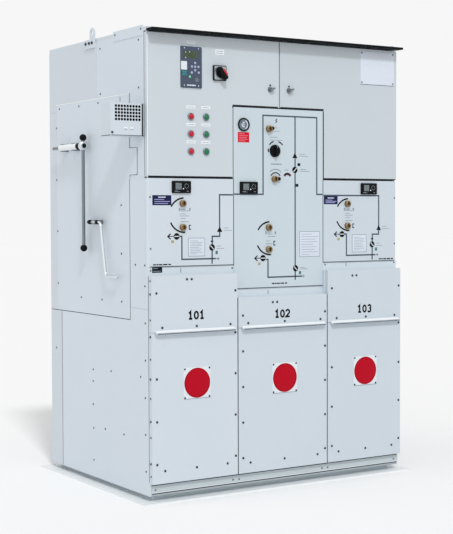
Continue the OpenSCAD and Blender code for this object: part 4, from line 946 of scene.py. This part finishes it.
FLOOR_REACH = 40.0
floor_mesh = bpy.data.meshes.new("studio_floor")
floor_corners = np.array([(-1, -1, 0), (1, -1, 0), (1, 1, 0), (-1, 1, 0)]) * FLOOR_REACH
floor_mesh.from_pydata(floor_corners.tolist(), [], [(0, 1, 2, 3)])
floor = bpy.data.objects.new("studio_floor", floor_mesh)
bpy.context.scene.collection.objects.link(floor)

# Seamless paper is dead matt, so the cubicle stands on a soft shadow alone
paper = bpy.data.materials.new("studio_paper")
paper.use_nodes = True
paper.node_tree.nodes.remove(paper.node_tree.nodes["Principled BSDF"])
matte = add(paper.node_tree, "ShaderNodeBsdfDiffuse", values={"Color": (0.9, 0.9, 0.9, 1)})
paper.node_tree.links.new(matte.outputs["BSDF"], paper.node_tree.nodes["Material Output"].inputs["Surface"])
floor_mesh.materials.append(paper)

# The sky is brighter where it is seen or mirrored than where it only lights
SKY_FILL, SKY_SEEN = (0.66, 0.66, 0.66, 1), (0.93, 0.93, 0.93, 1)
world = bpy.data.worlds.new("studio_sky")
bpy.context.scene.world = world
world.use_nodes = True
sky = world.node_tree
seen = add(sky, "ShaderNodeLightPath")
direct = seen.outputs["Is Camera Ray"]
for ray in ("Is Transmission Ray", "Is Glossy Ray"):
    direct = add(sky, "ShaderNodeMath", {"operation": "MAXIMUM"}, links={0: direct, 1: seen.outputs[ray]}).outputs[0]
fill = add(sky, "ShaderNodeMix", {"data_type": "RGBA"}, {6: SKY_FILL, 7: SKY_SEEN}, {0: direct})
sky.links.new(fill.outputs[2], sky.nodes["Background"].inputs["Color"])


def rotation(degrees, axis):
    """A turn about an axis."""
    return Matrix.Rotation(math.radians(degrees), 4, axis)


# Name, strength, apparent width, turn about Z and tilt from overhead of each light
for name, energy, width, turn, tilt in (("key_softbox", 1.34, 7, -19, 44), ("left_softbox", 0.5, 110, -80, 68)):
    sun = bpy.data.lights.new(name, "SUN")
    sun.energy = energy
    sun.angle = math.radians(width)
    lamp = bpy.data.objects.new(name, sun)
    lamp.matrix_world = rotation(turn, "Z") @ rotation(tilt, "X")
    bpy.context.scene.collection.objects.link(lamp)

CAMERA_AT, AZIMUTH, ELEVATION, ROLL = (-3.167, -5.0145, 1.1526), -32.43, 2.30, -0.19
camera = bpy.data.cameras.new("camera")
camera.sensor_width = 36.0
camera.lens = 88.73
camera.clip_end = 200.0
eye = bpy.data.objects.new("camera", camera)
aim = rotation(AZIMUTH, "Z") @ rotation(90 - ELEVATION, "X") @ rotation(ROLL, "Z")
eye.matrix_world = Matrix.Translation(CAMERA_AT) @ aim
bpy.context.scene.collection.objects.link(eye)
bpy.context.scene.camera = eye
bpy.context.scene.view_settings.view_transform = "Standard"
